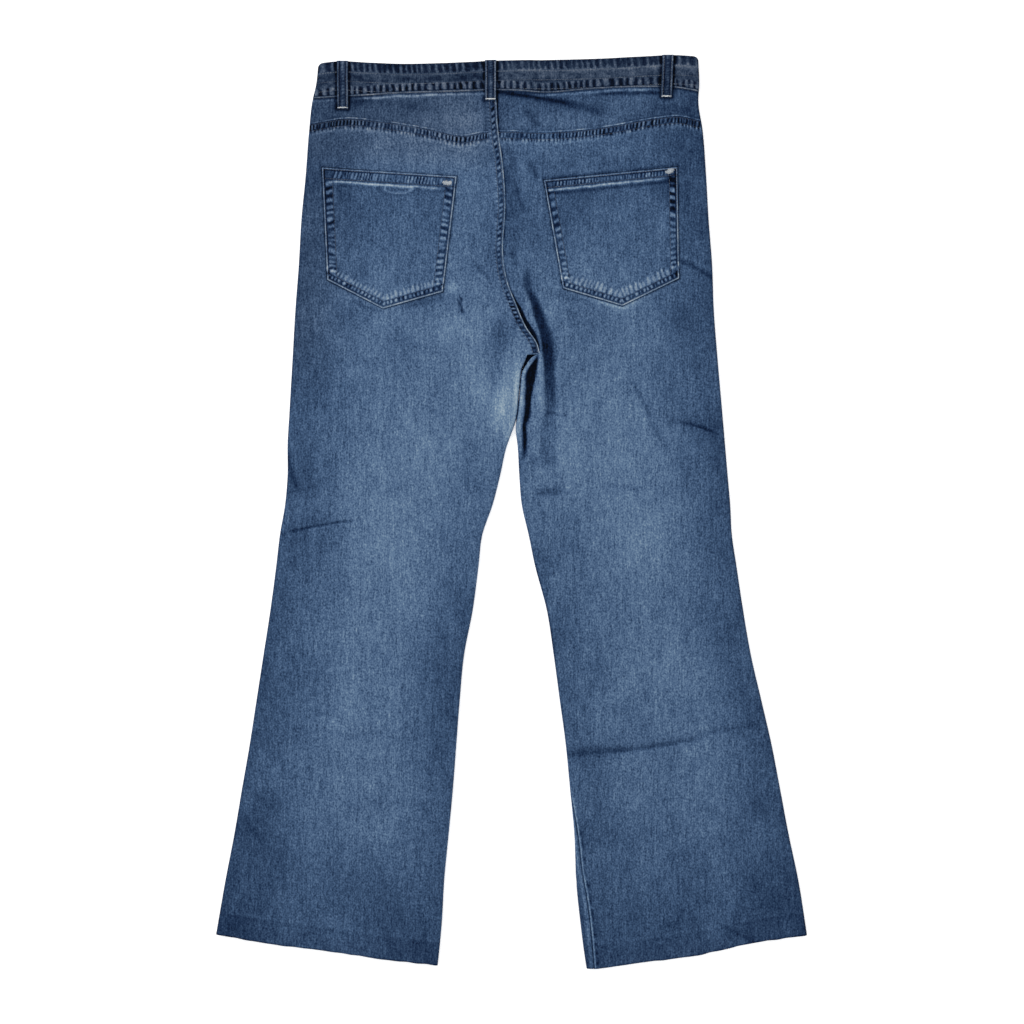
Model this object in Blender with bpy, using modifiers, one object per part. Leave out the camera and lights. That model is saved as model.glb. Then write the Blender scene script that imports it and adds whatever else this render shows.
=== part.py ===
"""A pair of bootcut jeans, laid flat on its front with the back up.

X runs across the jeans, Y up towards the waistband and Z up from the floor that they lie on. The wearer's
left is at -X. Lengths are in millimetres until a piece becomes a mesh, which is in metres.

Each panel is a thin wall lofted through its rows. A row is a section across the leg: it starts at one seam,
rolls over the folded side of the leg, crosses the cloth and ends at the other seam.
"""

import math
from collections import namedtuple

import bpy
import numpy as np

MM = 0.001

# The cloth and how it lies.
WALL = 1.2  # one layer of denim
BAND_WALL = 2.4  # the waistband's two layers
LOOP_WALL = 1.8
SEAM = 0.3  # between two pieces that are sewn edge to edge
OVER = 0.4  # under a piece that is sewn on another
LEG_EDGE = 6.0  # height of the two layers where they roll over at a side
LEG_MIDDLE = 4.8  # and in the middle of the leg
EDGE_REACH = 40.0  # how far in from the side the difference dies out
BAND_EDGE = 7.8
BAND_MIDDLE = 5.7
SEAM_RISE = 0.7  # a lapped seam stands this much proud
SEAM_LAP = 10.0  # and is this wide

# The front, which is underneath.
FRONT_DIP = 14.0  # the front of the waist is cut lower than the back
FLY_LAP = 5.0  # the left front lies over the right one at the fly
FLY_END = 345.0
BAND_LAP = (-16.0, 20.0)  # the ends of the band, from the centre front
BUTTON_PLACE = 8.0
BUTTON_RADIUS = 8.5
BUTTON_LIFT = 3.3
BUTTON_REACH = (16.0, 55.0)  # the cloth over the button is level to here, and on the floor from there
LOOP_HALF = 6.7
LOOP_LIFT = LOOP_WALL + OVER
LIFT_HALF = (125.0, 185.0)  # and the waist over the front loops likewise, from the middle
LIFT_LOW = (395.0, 437.0)
LOOP_ARCH = 1.4  # how far the middle of a loop stands off the band
LOOP_TAIL = 11.0  # how far a front loop runs below the band
FRONT_LOOPS = {"loop_front_left": -104.0, "loop_front_right": 98.0}

CROTCH = 183.0  # below this height the back panels part into legs
FRONT_CROTCH = 172.0
REFERENCE_X = 80.0  # heights of rows are given here


def table(columns, *rows):
    """Rows of numbers as one array for each named column."""
    return dict(zip(columns.split(), np.array(rows, float).T))


SIDES = table(
    "y left right",
    (523, -224, 217),
    (495, -227, 218),
    (478, -231, 217),
    (443, -235, 222),
    (391, -239, 226),
    (339, -244, 229),
    (287, -247, 233),
    (234, -251, 235),
    (182, -254, 239),
    (113, -258, 245),
    (78, -260, 248),
    (43, -260, 251),
    (8, -263, 254),
    (-27, -269, 256),
    (-61, -273, 261),
    (-114, -280, 269),
    (-166, -288, 278),
    (-218, -296, 290),
    (-270, -304, 302),
    (-322, -313, 312),
    (-375, -322, 322),
    (-427, -332, 333),
    (-490, -343, 343),
)
INSIDE_LEG = table(
    "y left right",
    (180, 19, 26),
    (171, 15, 20),
    (158, 10, 13.5),
    (136, 8.5, 11),
    (106, 4, 6.5),
    (95, 1, 6),
    (78, -5, 7),
    (43, -13, 9),
    (8, -22, 12),
    (-27, -34, 20),
    (-61, -38, 27),
    (-114, -45, 41),
    (-166, -55, 49),
    (-218, -60, 56),
    (-270, -64, 63),
    (-322, -68, 68),
    (-375, -73, 73),
    (-427, -78, 75),
    (-479, -81, 80),
    (-530, -86, 87),
)
CENTRE_BACK = table(
    "y x",
    (490, -19),
    (440, -16),
    (403, -11),
    (361, -8),
    (291, -10),
    (269, -6),
    (240, 5),
    (215, 16),
    (195, 29),
    (184, 32),
)
CENTRE_FRONT = table("y x", (520, -6), (400, -4), (300, 0), (230, 6), (185, 14), (168, 17.5))
WAIST = table(
    "x top bottom",
    (-226, 520, 481),
    (-200, 523, 483),
    (-165, 522, 484.5),
    (-130, 520.5, 485.5),
    (-85, 521, 486.5),
    (-31, 523.5, 487),
    (0, 524.5, 487),
    (45, 524.5, 486.5),
    (75, 525, 488),
    (108, 527, 490.5),
    (148, 529, 493),
    (190, 530, 492),
    (219, 528, 487),
)
YOKE_SEAM = table(
    "x y",
    (-236, 450),
    (-215, 454),
    (-194, 457),
    (-154, 454),
    (-92, 444),
    (-56, 437),
    (-32, 441),
    (-14, 442),
    (39, 441),
    (75, 443),
    (108, 447),
    (171, 458),
    (190, 460),
    (222, 454),
)
HEM = table(
    "x y",
    (-343, -490),
    (-283, -501),
    (-213, -510),
    (-144, -520),
    (-97, -525),
    (-70, -527),
    (0, -530),
    (60, -530),
    (95, -530),
    (144, -524),
    (213, -515),
    (283, -500),
    (343, -491),
)
# Near the right hem the inseam has turned onto the top: its distance round the edge.
INSEAM_TURN = table(
    "y round",
    (-300, 0),
    (-341, 2.5),
    (-379, 5.5),
    (-415, 8.4),
    (-442, 11.3),
    (-478, 12.6),
    (-530, 10.3),
)
# The largest folds: a soft trough or ridge from one point to another, bowed sideways at its middle.
FOLDS = table(
    "x0 y0 x1 y1 bow width rise",
    (3, 254, 30, 198, 0, 3.5, -1.3),  # valley beside the seat seam
    (11, 258, 38, 202, 0, 5, 1.4),
    (28, 250, 42, 196, 3, 6, -1.0),
    (42, 196, 44, 80, 0, 7, -1.2),  # trough down the inner thigh
    (29, 178, 16, 74, -3.5, 4, -1.7),  # deep fold beside the inseam
    (37, 184, 33, 120, 0, 6, 1.9),
    (44, 114, 68, 114, 0, 4, -0.6),
    (-6, 160, -16, 90, 0, 18, 1.2),  # fullness at the left crotch
    (-259, -23, -201, -14, 0, 5, -1.0),  # crease at the left knee
    (-76, -232, -62, -244, 0, 5, -0.8),
    (144, 148, 164, 106, 0, 9, -1.0),
    (200, 103, 238, 97, 0, 8, -1.0),
    (34, 24, 80, 24, 0, 12, -0.6),
    (60, -280, 222, -256, -6, 17, -1.3),  # broad trough across the right calf
)
POCKETS = {
    "pocket_left": table("x y", (-219, 399), (-64, 389), (-80, 256), (-147, 237), (-213, 271)),
    "pocket_right": table("x y", (39, 386), (191, 401), (193, 273), (129, 242), (61, 262)),
}
POCKET_HEM = 0.09  # share of a pocket's depth that is turned in at its top
POCKET_HEM_RISE = 0.7
BACK_LOOPS = {
    "loop_back_left": table("x y", (-196.5, 523.5), (-196.5, 469)),
    "loop_back_centre": table("x y", (-25.5, 525), (-24.5, 479)),
    "loop_back_right": table("x y", (181.5, 530), (179.5, 481)),
}
BUTTON_PROFILE = table(
    "radius z",
    (0, 2.9),
    (3.2, 2.9),
    (3.2, 2.2),
    (8.0, 2.0),
    (BUTTON_RADIUS, 1.5),
    (8.3, 0.7),
    (7.0, 0),
    (0, 0),
)

DENIM = ((0.075, 0.115, 0.185), 0.9, 0.0)
DARK_DENIM = ((0.035, 0.055, 0.09), 0.9, 0.0)
COPPER = ((0.42, 0.24, 0.14), 0.4, 1.0)


def smooth(at, xs, ys):
    """The curve through a table's points: a cubic between each two, its slopes taken from their neighbours."""
    order = np.argsort(xs)
    xs, ys = xs[order], ys[order]
    slopes = np.gradient(ys, xs)
    at = np.clip(at, xs[0], xs[-1])
    i = np.clip(np.searchsorted(xs, at) - 1, 0, len(xs) - 2)
    wide = xs[i + 1] - xs[i]
    t = (at - xs[i]) / wide
    ends = (1 + 2 * t) * (1 - t) ** 2 * ys[i] + t * t * (3 - 2 * t) * ys[i + 1]
    return ends + wide * (t * (1 - t) ** 2 * slopes[i] - t * t * (1 - t) * slopes[i + 1])


def ease(value, low, high):
    """0 at low and below, 1 at high and above, with a soft S between. low may be the larger."""
    t = np.clip((value - low) / (high - low), 0, 1)
    return t * t * (3 - 2 * t)


def sides(y, which):
    return smooth(y, SIDES["y"], SIDES[which])


def inside_leg(y, which):
    return smooth(y, INSIDE_LEG["y"], INSIDE_LEG[which])


def centre_back(y):
    return smooth(y, CENTRE_BACK["y"], CENTRE_BACK["x"])


def centre_front(y):
    return smooth(y, CENTRE_FRONT["y"], CENTRE_FRONT["x"])


def inseam_turn(y):
    return smooth(y, INSEAM_TURN["y"], INSEAM_TURN["round"])


def waist_top(x):
    return smooth(x, WAIST["x"], WAIST["top"])


def waist_bottom(x):
    return smooth(x, WAIST["x"], WAIST["bottom"])


def yoke_seam(x):
    return smooth(x, YOKE_SEAM["x"], YOKE_SEAM["y"])


def hem(x):
    return smooth(x, HEM["x"], HEM["y"])


def dip(x):
    """How much lower the front of the waist is, from nothing at the sides to all of it at the centre."""
    return FRONT_DIP * (1 - np.clip(x / sides(500.0, "right"), -1, 1) ** 2) ** 2


def button_centre():
    y = (waist_top(BUTTON_PLACE) + waist_bottom(BUTTON_PLACE)) / 2 - dip(BUTTON_PLACE)
    return centre_front(y) + BUTTON_PLACE, y


def lift(x, y):
    """How far the button and the front loops hold the cloth off the floor."""
    x_button, y_button = button_centre()
    far = np.hypot(x - x_button, y - y_button)
    over_button = (BUTTON_LIFT - LOOP_LIFT) * ease(far, *BUTTON_REACH[::-1])
    return over_button + LOOP_LIFT * ease(np.abs(x), *LIFT_HALF[::-1]) * ease(y, *LIFT_LOW)


def band_lap(x):
    """1 where the ends of the waistband lie on each other, and 0 beyond."""
    centre = centre_front(500.0)
    left, right = centre + BAND_LAP[0], centre + BAND_LAP[1]
    return ease(x, left - 22, left - 2) * ease(x, right + 22, right + 2)


def relief(x, y):
    """The folds: each is a bell across its own line, fading out past its two ends."""
    total = np.zeros(np.broadcast(x, y).shape)
    for x0, y0, x1, y1, bow, width, rise in zip(*FOLDS.values()):
        long = math.hypot(x1 - x0, y1 - y0)
        ux, uy = (x1 - x0) / long, (y1 - y0) / long
        along = ((x - x0) * ux + (y - y0) * uy) / long
        bowed = bow * 4 * along * (1 - along)
        aside = (x - x0) * uy - (y - y0) * ux - bowed * np.sign(uy or 1)
        inside = ease(along, -0.12, 0.15) * ease(along, 1.12, 0.85)
        total = total + rise * inside * np.exp(-((aside / width) ** 2))
    return total


def side_distance(x, y):
    """How far a point is from the nearest folded side of its own leg, or of the seat."""
    left_leg = (y < CROTCH) & (x < (inside_leg(y, "left") + inside_leg(y, "right")) / 2)
    right_leg = (y < CROTCH) & ~left_leg
    left = np.where(right_leg, inside_leg(y, "right"), sides(y, "left"))
    right = np.where(left_leg, inside_leg(y, "left"), sides(y, "right"))
    return np.maximum(np.minimum(x - left, right - x), 0)


def leg_top(x, y):
    """Upper face of the back panels and yokes."""
    near = np.exp(-((side_distance(x, y) / EDGE_REACH) ** 2))
    over_lap = (BAND_WALL + OVER) * band_lap(x) * ease(y, 425, 480)
    return LEG_MIDDLE + (LEG_EDGE - LEG_MIDDLE) * near + relief(x, y) + lift(x, y) + over_lap


def seat_top(x, y):
    """Upper face of the back panels, with the laps of the yoke seam and the seat seam."""
    from_yoke = yoke_seam(x) - y
    yoke_lap = ease(from_yoke, SEAM_LAP + 3, SEAM_LAP - 1)
    from_centre = centre_back(y) - x
    on_left = (from_centre > 0) & (y > CROTCH)
    centre_lap = ease(from_centre, SEAM_LAP + 3, SEAM_LAP - 1) * on_left
    return leg_top(x, y) + SEAM_RISE * np.maximum(yoke_lap, centre_lap)


def front_face(x, y):
    """Lower face of the front panels, which is the floor but for the loops and the button."""
    return lift(x, y)


def front_right_face(x, y):
    """Lower face of the right front, held up along the fly by the left front under it."""
    past = x - centre_front(y)
    return lift(x, y) + (WALL + OVER) * ease(past, 22, 7) * ease(y, FLY_END - 20, FLY_END)


def band_face(x, y):
    return lift(x, y)


def band_right_face(x, y):
    """Lower face of the right end of the band, which lies on its left end."""
    past = x - centre_front(500.0) - BAND_LAP[1]
    return lift(x, y) + (BAND_WALL + OVER) * ease(past, 22, 2)


def band_top(x, y):
    near = np.exp(-((side_distance(x, y) / EDGE_REACH) ** 2))
    over_lap = (BAND_WALL + OVER) * band_lap(x)
    return BAND_MIDDLE + (BAND_EDGE - BAND_MIDDLE) * near + over_lap + lift(x, y)


# One side of a piece: edge(y) is its x, rolls(y) says where it rolls over, turn(y) how far round the seam is.
Side = namedtuple("Side", "edge rolls turn")
# Columns of a piece: steps round its left edge, distances on from there, even ones, and the same at the right.
Columns = namedtuple("Columns", "turns_left left between right turns_right", defaults=(3,))


def always(y):
    return np.ones(np.shape(y), bool)


def never(y):
    return np.zeros(np.shape(y), bool)


def no_turn(y):
    return np.zeros(np.shape(y))


def below(height):
    return lambda y: y < height


def levels(upper, lower, *stretches):
    """How far down from upper to lower each row runs. A stretch is a height at REFERENCE_X and its steps."""
    high, low = upper(REFERENCE_X), lower(REFERENCE_X)
    heights = [high]
    for height, steps in stretches:
        stop = max(height, low)
        heights.extend(np.linspace(heights[-1], stop, steps + 1)[1:])
    return (high - np.array(heights)) / (high - low)


def spread(start, stop, length, columns):
    """Distances along each row: round the left edge, even ones between, and round the right edge."""
    shortest = length["turn"] * 0.65
    steps = np.linspace(0, 1, columns.turns_left + 1)
    first = start[:, None] + np.maximum(length["turn"] - start, shortest)[:, None] * steps
    steps = np.linspace(0, 1, columns.turns_right + 1)
    end_room = length["whole"] - stop
    last = stop[:, None] - np.maximum(length["turn"] - end_room, shortest)[:, None] * steps
    first = np.hstack([first, first[:, -1:] + np.array(columns.left)[None, :]])
    last = np.hstack([last, last[:, -1:] - np.array(columns.right)[None, :]])
    even = np.linspace(0, 1, columns.between + 2)[1:-1]
    between = first[:, -1:] + (last[:, -1:] - first[:, -1:]) * even
    return np.hstack([first, between, last[:, ::-1]])


def section_grid(upper, lower, rows, left, right, columns, face, other, height, wall):
    """Outer and inner points of a panel, row by row.

    A row's path is measured round the folded edge of radius height / 2: x grows as 1 - cos and the height
    as sin of the turn, and both go on level after a quarter. face is the height of the piece's own outer
    face and other that of the opposite layer, which it shares where it has turned past the edge.
    """
    radius, quarter = height / 2, math.pi * height / 4
    ends = []
    for side in (left, right):
        y = (1 - rows) * upper(REFERENCE_X) + rows * lower(REFERENCE_X)
        for _ in range(6):
            x = side.edge(y)
            y = (1 - rows) * upper(x) + rows * lower(x)
        ends.append((x, side.rolls(y), side.turn(y)))
    (x_left, roll_left, turn_left), (x_right, roll_right, turn_right) = ends
    rolled = roll_left.astype(float) + roll_right
    whole = quarter * rolled + x_right - x_left - radius * rolled
    start = np.where(roll_left, turn_left + SEAM / 2, 0)
    stop = whole - np.where(roll_right, turn_right + SEAM / 2, 0)
    path = spread(start, stop, {"turn": quarter, "whole": whole}, columns)

    def round_edge(distance, rolls):
        """Level distance, sine and cosine of the turn at a distance along the path from an edge."""
        turn = np.clip(distance / quarter, -1, 1) * math.pi / 2
        level = radius * (1 - np.cos(turn)) + np.maximum(np.abs(distance) - quarter, 0)
        rolls = rolls[:, None]
        return (
            np.where(rolls, level, distance),
            np.where(rolls, np.sin(turn), 1.0),
            np.where(rolls, np.cos(turn), 0.0),
        )

    level_left, sin_left, cos_left = round_edge(path, roll_left)
    level_right, sin_right, cos_right = round_edge(whole[:, None] - path, roll_right)
    on_left = path < whole[:, None] / 2
    x = np.where(on_left, x_left[:, None] + level_left, x_right[:, None] - level_right)
    y = (1 - rows[:, None]) * upper(x) + rows[:, None] * lower(x)
    sine = np.where(on_left, sin_left, sin_right)
    inward = np.where(on_left, cos_left, -cos_right)
    reach = np.where(sine >= 0, face(x, y), other(x, y)) - radius
    outer = np.stack([x, y, radius + reach * np.abs(sine)], axis=-1)
    down = np.sign(reach) * np.abs(sine)
    return outer, outer + wall * np.stack([inward, 0 * x, -down], axis=-1)


def patch_grid(x, y, face, wall):
    """Outer and inner points of a patch that lies on face, with its thickness above it."""
    low = np.stack([x, y, face(x, y) + OVER], axis=-1)
    return low + np.array([0, 0, wall]), low


def lofted(name, outer, inner, up=True):
    """A closed wall between two grids of points: both faces and the rim round them."""
    rows, columns = outer.shape[:2]
    index = np.arange(rows * columns).reshape(rows, columns)
    quads = np.stack([index[:-1, :-1], index[1:, :-1], index[1:, 1:], index[:-1, 1:]], axis=-1)
    quads = quads.reshape(-1, 4)
    back = rows * columns
    border = np.concatenate([index[:, 0], index[-1, 1:], index[-2::-1, -1], index[0, -2:0:-1]])
    after = np.roll(border, -1)
    rim = np.stack([after, border, border + back, after + back], axis=-1)
    faces = np.concatenate([quads, quads[:, ::-1] + back, rim])
    if not up:
        faces = faces[:, ::-1]
    mesh = bpy.data.meshes.new(name)
    points = np.concatenate([outer.reshape(-1, 3), inner.reshape(-1, 3)]) * MM
    mesh.from_pydata(points.tolist(), [], faces.tolist())
    mesh.shade_smooth()
    mesh.set_sharp_from_angle(angle=math.radians(40))
    return bpy.data.objects.new(name, mesh)


BACK_ROWS = ((430, 1), (270, 5), (190, 6), (186, 1), (180, 1), (120, 5), (60, 3), (-60, 4), (-300, 5), (-530, 6))
FRONT_ROWS = (
    (440, 1),
    (FLY_END, 3),
    (FLY_END - 20, 1),
    (190, 3),
    (174, 1),
    (170, 1),
    (120, 2),
    (-60, 4),
    (-300, 4),
    (-530, 6),
)
FAR_SIDE = (6.3,)
SEAT_SEAM = (4.5, 8.0)
INNER_THIGH = (2.8, 5.8, 9.3, 14.0, 20.0, 28.0, 39.0)


def above_yoke(x):
    return waist_bottom(x) - SEAM


def yoke_edge(x):
    return yoke_seam(x) + SEAM / 2


def seat_edge(x):
    return yoke_seam(x) - SEAM / 2


def front_edge(x):
    return waist_bottom(x) - dip(x) - SEAM


def outer_side(which, turn=no_turn):
    return Side(lambda y: sides(y, which), always, turn)


def back_inner(which, shift):
    """The seat seam down to the crotch, and the inside of the leg below it."""

    def edge(y):
        return np.where(y > CROTCH, centre_back(y) + shift * SEAM / 2, inside_leg(y, which))

    turn = inseam_turn if which == "right" else no_turn
    return Side(edge, below(CROTCH), turn)


def front_inner(which):
    """The front seam, lapped to the right along the fly, and the inside of the leg below it."""

    def edge(y):
        lap = FLY_LAP * ease(y, FLY_END - 20, FLY_END) - SEAM / 2
        seam = centre_front(y) + (lap if which == "left" else SEAM / 2)
        return np.where(y > FRONT_CROTCH, seam, inside_leg(y, which))

    turn = (lambda y: -inseam_turn(y)) if which == "right" else no_turn
    return Side(edge, below(FRONT_CROTCH), turn)


def back_columns(which):
    if which == "left":
        return Columns(3, FAR_SIDE, 7, SEAT_SEAM)
    return Columns(3, INNER_THIGH, 5, FAR_SIDE)


def both_sides(which, inner):
    return (outer_side(which), inner) if which == "left" else (inner, outer_side(which))


def back_panel(which):
    rows = levels(seat_edge, hem, *BACK_ROWS)
    pair = both_sides(which, back_inner(which, -1 if which == "left" else 1))
    points = section_grid(
        seat_edge, hem, rows, *pair, back_columns(which), seat_top, front_face, LEG_EDGE, WALL
    )
    return lofted(f"back_{which}", *points)


def yoke(which):
    rows = np.linspace(0, 1, 4)
    pair = both_sides(which, back_inner(which, -1 if which == "left" else 1))
    points = section_grid(
        above_yoke, yoke_edge, rows, *pair, back_columns(which), leg_top, front_face, LEG_EDGE, WALL
    )
    return lofted(f"yoke_{which}", *points)


def front_panel(which):
    rows = levels(front_edge, hem, *FRONT_ROWS)
    face = front_face if which == "left" else front_right_face
    columns = Columns(6, (), 9, ()) if which == "right" else Columns(3, (), 9, ())
    pair = both_sides(which, front_inner(which))
    points = section_grid(
        front_edge, hem, rows, *pair, columns, face, leg_top, LEG_EDGE, WALL
    )
    return lofted(f"front_{which}", *points, up=False)


def waistband_back():
    rows = np.linspace(0, 1, 4)
    points = section_grid(
        waist_top,
        waist_bottom,
        rows,
        outer_side("left"),
        outer_side("right"),
        Columns(3, FAR_SIDE, 20, FAR_SIDE),
        band_top,
        band_face,
        BAND_EDGE,
        BAND_WALL,
    )
    return lofted("waistband_back", *points)


def waistband_front(which):
    """Half of the band's front, from the side to its own end past the centre front."""
    shift = BAND_LAP[1] if which == "left" else BAND_LAP[0]
    end = Side(lambda y: centre_front(500.0) + shift + 0 * y, never, no_turn)
    face = band_face if which == "left" else band_right_face
    points = section_grid(
        lambda x: waist_top(x) - dip(x),
        lambda x: waist_bottom(x) - dip(x),
        np.linspace(0, 1, 4),
        *both_sides(which, end),
        Columns(3, (), 14, ()),
        face,
        band_top,
        BAND_EDGE,
        BAND_WALL,
    )
    return lofted(f"waistband_front_{which}", *points, up=False)


def pocket(name):
    """A patch with five corners: every column runs from the top edge to one of the two lower edges."""
    corner = POCKETS[name]
    hem_and_rest = np.concatenate([[0, POCKET_HEM, POCKET_HEM + 0.03], np.linspace(0.3, 1, 4)])
    u, v = np.meshgrid(np.linspace(0, 1, 9), hem_and_rest)

    def corners(axis):
        top_left, top_right, low_right, tip, low_left = corner[axis]
        top = top_left + (top_right - top_left) * u
        low = np.interp(u, (0, 0.5, 1), (low_left, tip, low_right))
        return top + (low - top) * v

    x, y = corners("x"), corners("y")
    outer, inner = patch_grid(x, y, seat_top, WALL)
    outer[..., 2] += POCKET_HEM_RISE * ease(v, POCKET_HEM + 0.03, POCKET_HEM)
    return lofted(name, outer, inner)


def loop_grid(line, face):
    """A strip along a line of two points, arched off the face between its sewn ends."""
    along, across = np.meshgrid(np.linspace(0, 1, 9), np.linspace(-LOOP_HALF, LOOP_HALF, 4), indexing="ij")
    x = line["x"][0] + (line["x"][1] - line["x"][0]) * along + across
    y = line["y"][0] + (line["y"][1] - line["y"][0]) * along
    arch = LOOP_ARCH * np.sin(math.pi * np.clip(along / 0.85, 0, 1)) ** 2
    return x, y, face(x, y) + arch


def loop_rest(x, y):
    """What a back loop lies on: the band, then a step down to the yoke."""
    below_band = waist_bottom(x) - y
    step = ease(below_band, 1, 9)
    return (1 - step) * band_top(x, y) + step * leg_top(x, y)


def back_loop(name):
    x, y, low = loop_grid(BACK_LOOPS[name], loop_rest)
    inner = np.stack([x, y, low + OVER], axis=-1)
    return lofted(name, inner + np.array([0, 0, LOOP_WALL]), inner)


def front_loop(name):
    """A loop under the front, flat on the floor."""
    place = FRONT_LOOPS[name]
    high, low = waist_top(place) - dip(place), waist_bottom(place) - dip(place) - LOOP_TAIL
    line = table("x y", (place, high), (place, low))
    x, y, _ = loop_grid(line, front_face)
    outer = np.stack([x, y, 0 * x], axis=-1)
    return lofted(name, outer, outer + np.array([0, 0, LOOP_WALL]), up=False)


def button():
    """A turned disc on a short shank, face down on the floor."""
    mesh = bpy.data.meshes.new("waistband_button")
    profile = [(r * MM, 0, z * MM) for r, z in zip(*BUTTON_PROFILE.values())]
    mesh.from_pydata(profile, [(i, i + 1) for i in range(len(profile) - 1)], [])
    turned = bpy.data.objects.new("waistband_button", mesh)
    screw = turned.modifiers.new("Turn", "SCREW")
    screw.steps = screw.render_steps = 20
    screw.use_merge_vertices = True
    screw.merge_threshold = 0.00005
    x, y = button_centre()
    turned.location = (x * MM, y * MM, 0)
    return turned


def finish(made, colour, roughness, metallic):
    material = bpy.data.materials.new(f"{made.name}_finish")
    material.use_nodes = True
    shader = material.node_tree.nodes["Principled BSDF"]
    shader.inputs["Base Color"].default_value = (*colour, 1)
    shader.inputs["Roughness"].default_value = roughness
    shader.inputs["Metallic"].default_value = metallic
    made.data.materials.append(material)


def main():
    for old in list(bpy.data.objects):
        bpy.data.objects.remove(old)
    jeans = bpy.data.collections.new("bootcut_jeans")
    bpy.context.scene.collection.children.link(jeans)
    place = bpy.data.objects.new("jeans_on_the_floor", None)
    jeans.objects.link(place)
    pieces = []
    for which in ("left", "right"):
        pieces += [(back_panel(which), DENIM), (yoke(which), DENIM), (front_panel(which), DENIM)]
        pieces += [(pocket(f"pocket_{which}"), DENIM), (waistband_front(which), DARK_DENIM)]
    pieces += [(waistband_back(), DARK_DENIM), (button(), COPPER)]
    pieces += [(back_loop(name), DARK_DENIM) for name in BACK_LOOPS]
    pieces += [(front_loop(name), DARK_DENIM) for name in FRONT_LOOPS]
    for made, look in pieces:
        finish(made, *look)
        made.parent = place
        jeans.objects.link(made)


main()
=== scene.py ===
# %% [markdown]
# # Bootcut jeans, laid flat with the back up
#
# A pair of jeans is sixteen flat pieces of twill, sewn edge to edge. Laid on a table it is two layers
# thick: the back panels, yoke, patch pockets and waistband on top, the fronts underneath, and the cloth
# rolling over from one to the other at each side. The pieces could be draped by simulation, but this
# garment has been smoothed flat by hand, so each is a thin wall worked out from the pattern's own curves.
#
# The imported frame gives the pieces' places. Here each gets a finer surface and its finish.

# %% Load the frame
import math

import bpy
import numpy as np
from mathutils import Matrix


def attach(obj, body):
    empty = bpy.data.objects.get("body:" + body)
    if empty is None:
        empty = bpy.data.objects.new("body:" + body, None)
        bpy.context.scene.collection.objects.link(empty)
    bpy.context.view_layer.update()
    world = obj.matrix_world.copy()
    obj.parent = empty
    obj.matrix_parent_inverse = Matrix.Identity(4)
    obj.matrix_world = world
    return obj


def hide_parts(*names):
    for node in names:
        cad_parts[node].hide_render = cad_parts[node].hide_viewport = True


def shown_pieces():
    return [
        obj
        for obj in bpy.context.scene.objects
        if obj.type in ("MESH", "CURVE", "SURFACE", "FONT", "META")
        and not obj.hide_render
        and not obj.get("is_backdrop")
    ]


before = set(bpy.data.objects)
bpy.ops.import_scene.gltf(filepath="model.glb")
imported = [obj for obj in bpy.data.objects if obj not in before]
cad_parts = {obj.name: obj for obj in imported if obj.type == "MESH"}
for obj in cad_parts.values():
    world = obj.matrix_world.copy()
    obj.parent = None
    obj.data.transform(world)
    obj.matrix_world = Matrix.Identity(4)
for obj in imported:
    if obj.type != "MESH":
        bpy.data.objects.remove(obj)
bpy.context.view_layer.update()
MM = 0.001
print("frame nodes:", ", ".join(sorted(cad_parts)))

# %% [markdown]
# ## Camera, light and floor
#
# The picture is taken from straight above with a long lens, so the legs keep their true widths. The lens
# stands as far off as makes one pixel 1.16 mm of cloth. An even white room light with one large soft lamp
# from the top left keeps the floor white, and still shades the puckers along the seams.

# %% Camera
PICTURE, PIXEL = 1024, 1.16  # pixels across, and millimetres of cloth to each
LENS, SENSOR = 85.0, 36.0
CLOTH_LEVEL = 0.006
camera = bpy.data.objects.new("camera", bpy.data.cameras.new("camera"))
camera.data.lens, camera.data.sensor_width = LENS, SENSOR
camera.location = (PIXEL * MM / 2, 0, PICTURE * PIXEL * MM * LENS / SENSOR + CLOTH_LEVEL)
bpy.context.scene.collection.objects.link(camera)
bpy.context.scene.camera = camera
print("camera height:", round(camera.location.z, 3), "m")


# %% Light and floor
def softbox(name, place, size, power):
    """A square lamp aimed at the middle of the jeans."""
    lamp = bpy.data.objects.new(name, bpy.data.lights.new(name, "AREA"))
    lamp.data.size, lamp.data.energy = size, power
    lamp.location = place
    lamp.rotation_euler = (-lamp.location).to_track_quat("-Z", "Y").to_euler()
    bpy.context.scene.collection.objects.link(lamp)


softbox("key", (-1.7, 1.5, 1.7), 1.2, 30.0)
room = bpy.data.worlds.new("room")
room.use_nodes = True
room.node_tree.nodes["Background"].inputs["Color"].default_value = (1, 1, 1, 1)
room.node_tree.nodes["Background"].inputs["Strength"].default_value = 0.9
bpy.context.scene.world = room
bpy.context.scene.view_settings.view_transform = "Standard"

FLOOR_HALF, FLOOR_DROP = 6.0, 0.0004
corners = [(-1, -1), (1, -1), (1, 1), (-1, 1)]
floor_mesh = bpy.data.meshes.new("floor")
corners = [(FLOOR_HALF * x, FLOOR_HALF * y, -FLOOR_DROP) for x, y in corners]
floor_mesh.from_pydata(corners, [], [(0, 1, 2, 3)])
floor = bpy.data.objects.new("floor", floor_mesh)
bpy.context.scene.collection.objects.link(floor)
floor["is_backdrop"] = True
paper = bpy.data.materials.new("white_paper")
paper.use_nodes = True
paper.node_tree.nodes["Principled BSDF"].inputs["Base Color"].default_value = (0.93, 0.93, 0.93, 1)
paper.node_tree.nodes["Principled BSDF"].inputs["Roughness"].default_value = 0.9
paper.node_tree.nodes["Principled BSDF"].inputs["Emission Color"].default_value = (1, 1, 1, 1)
paper.node_tree.nodes["Principled BSDF"].inputs["Emission Strength"].default_value = 0.4
floor_mesh.materials.append(paper)

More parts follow.
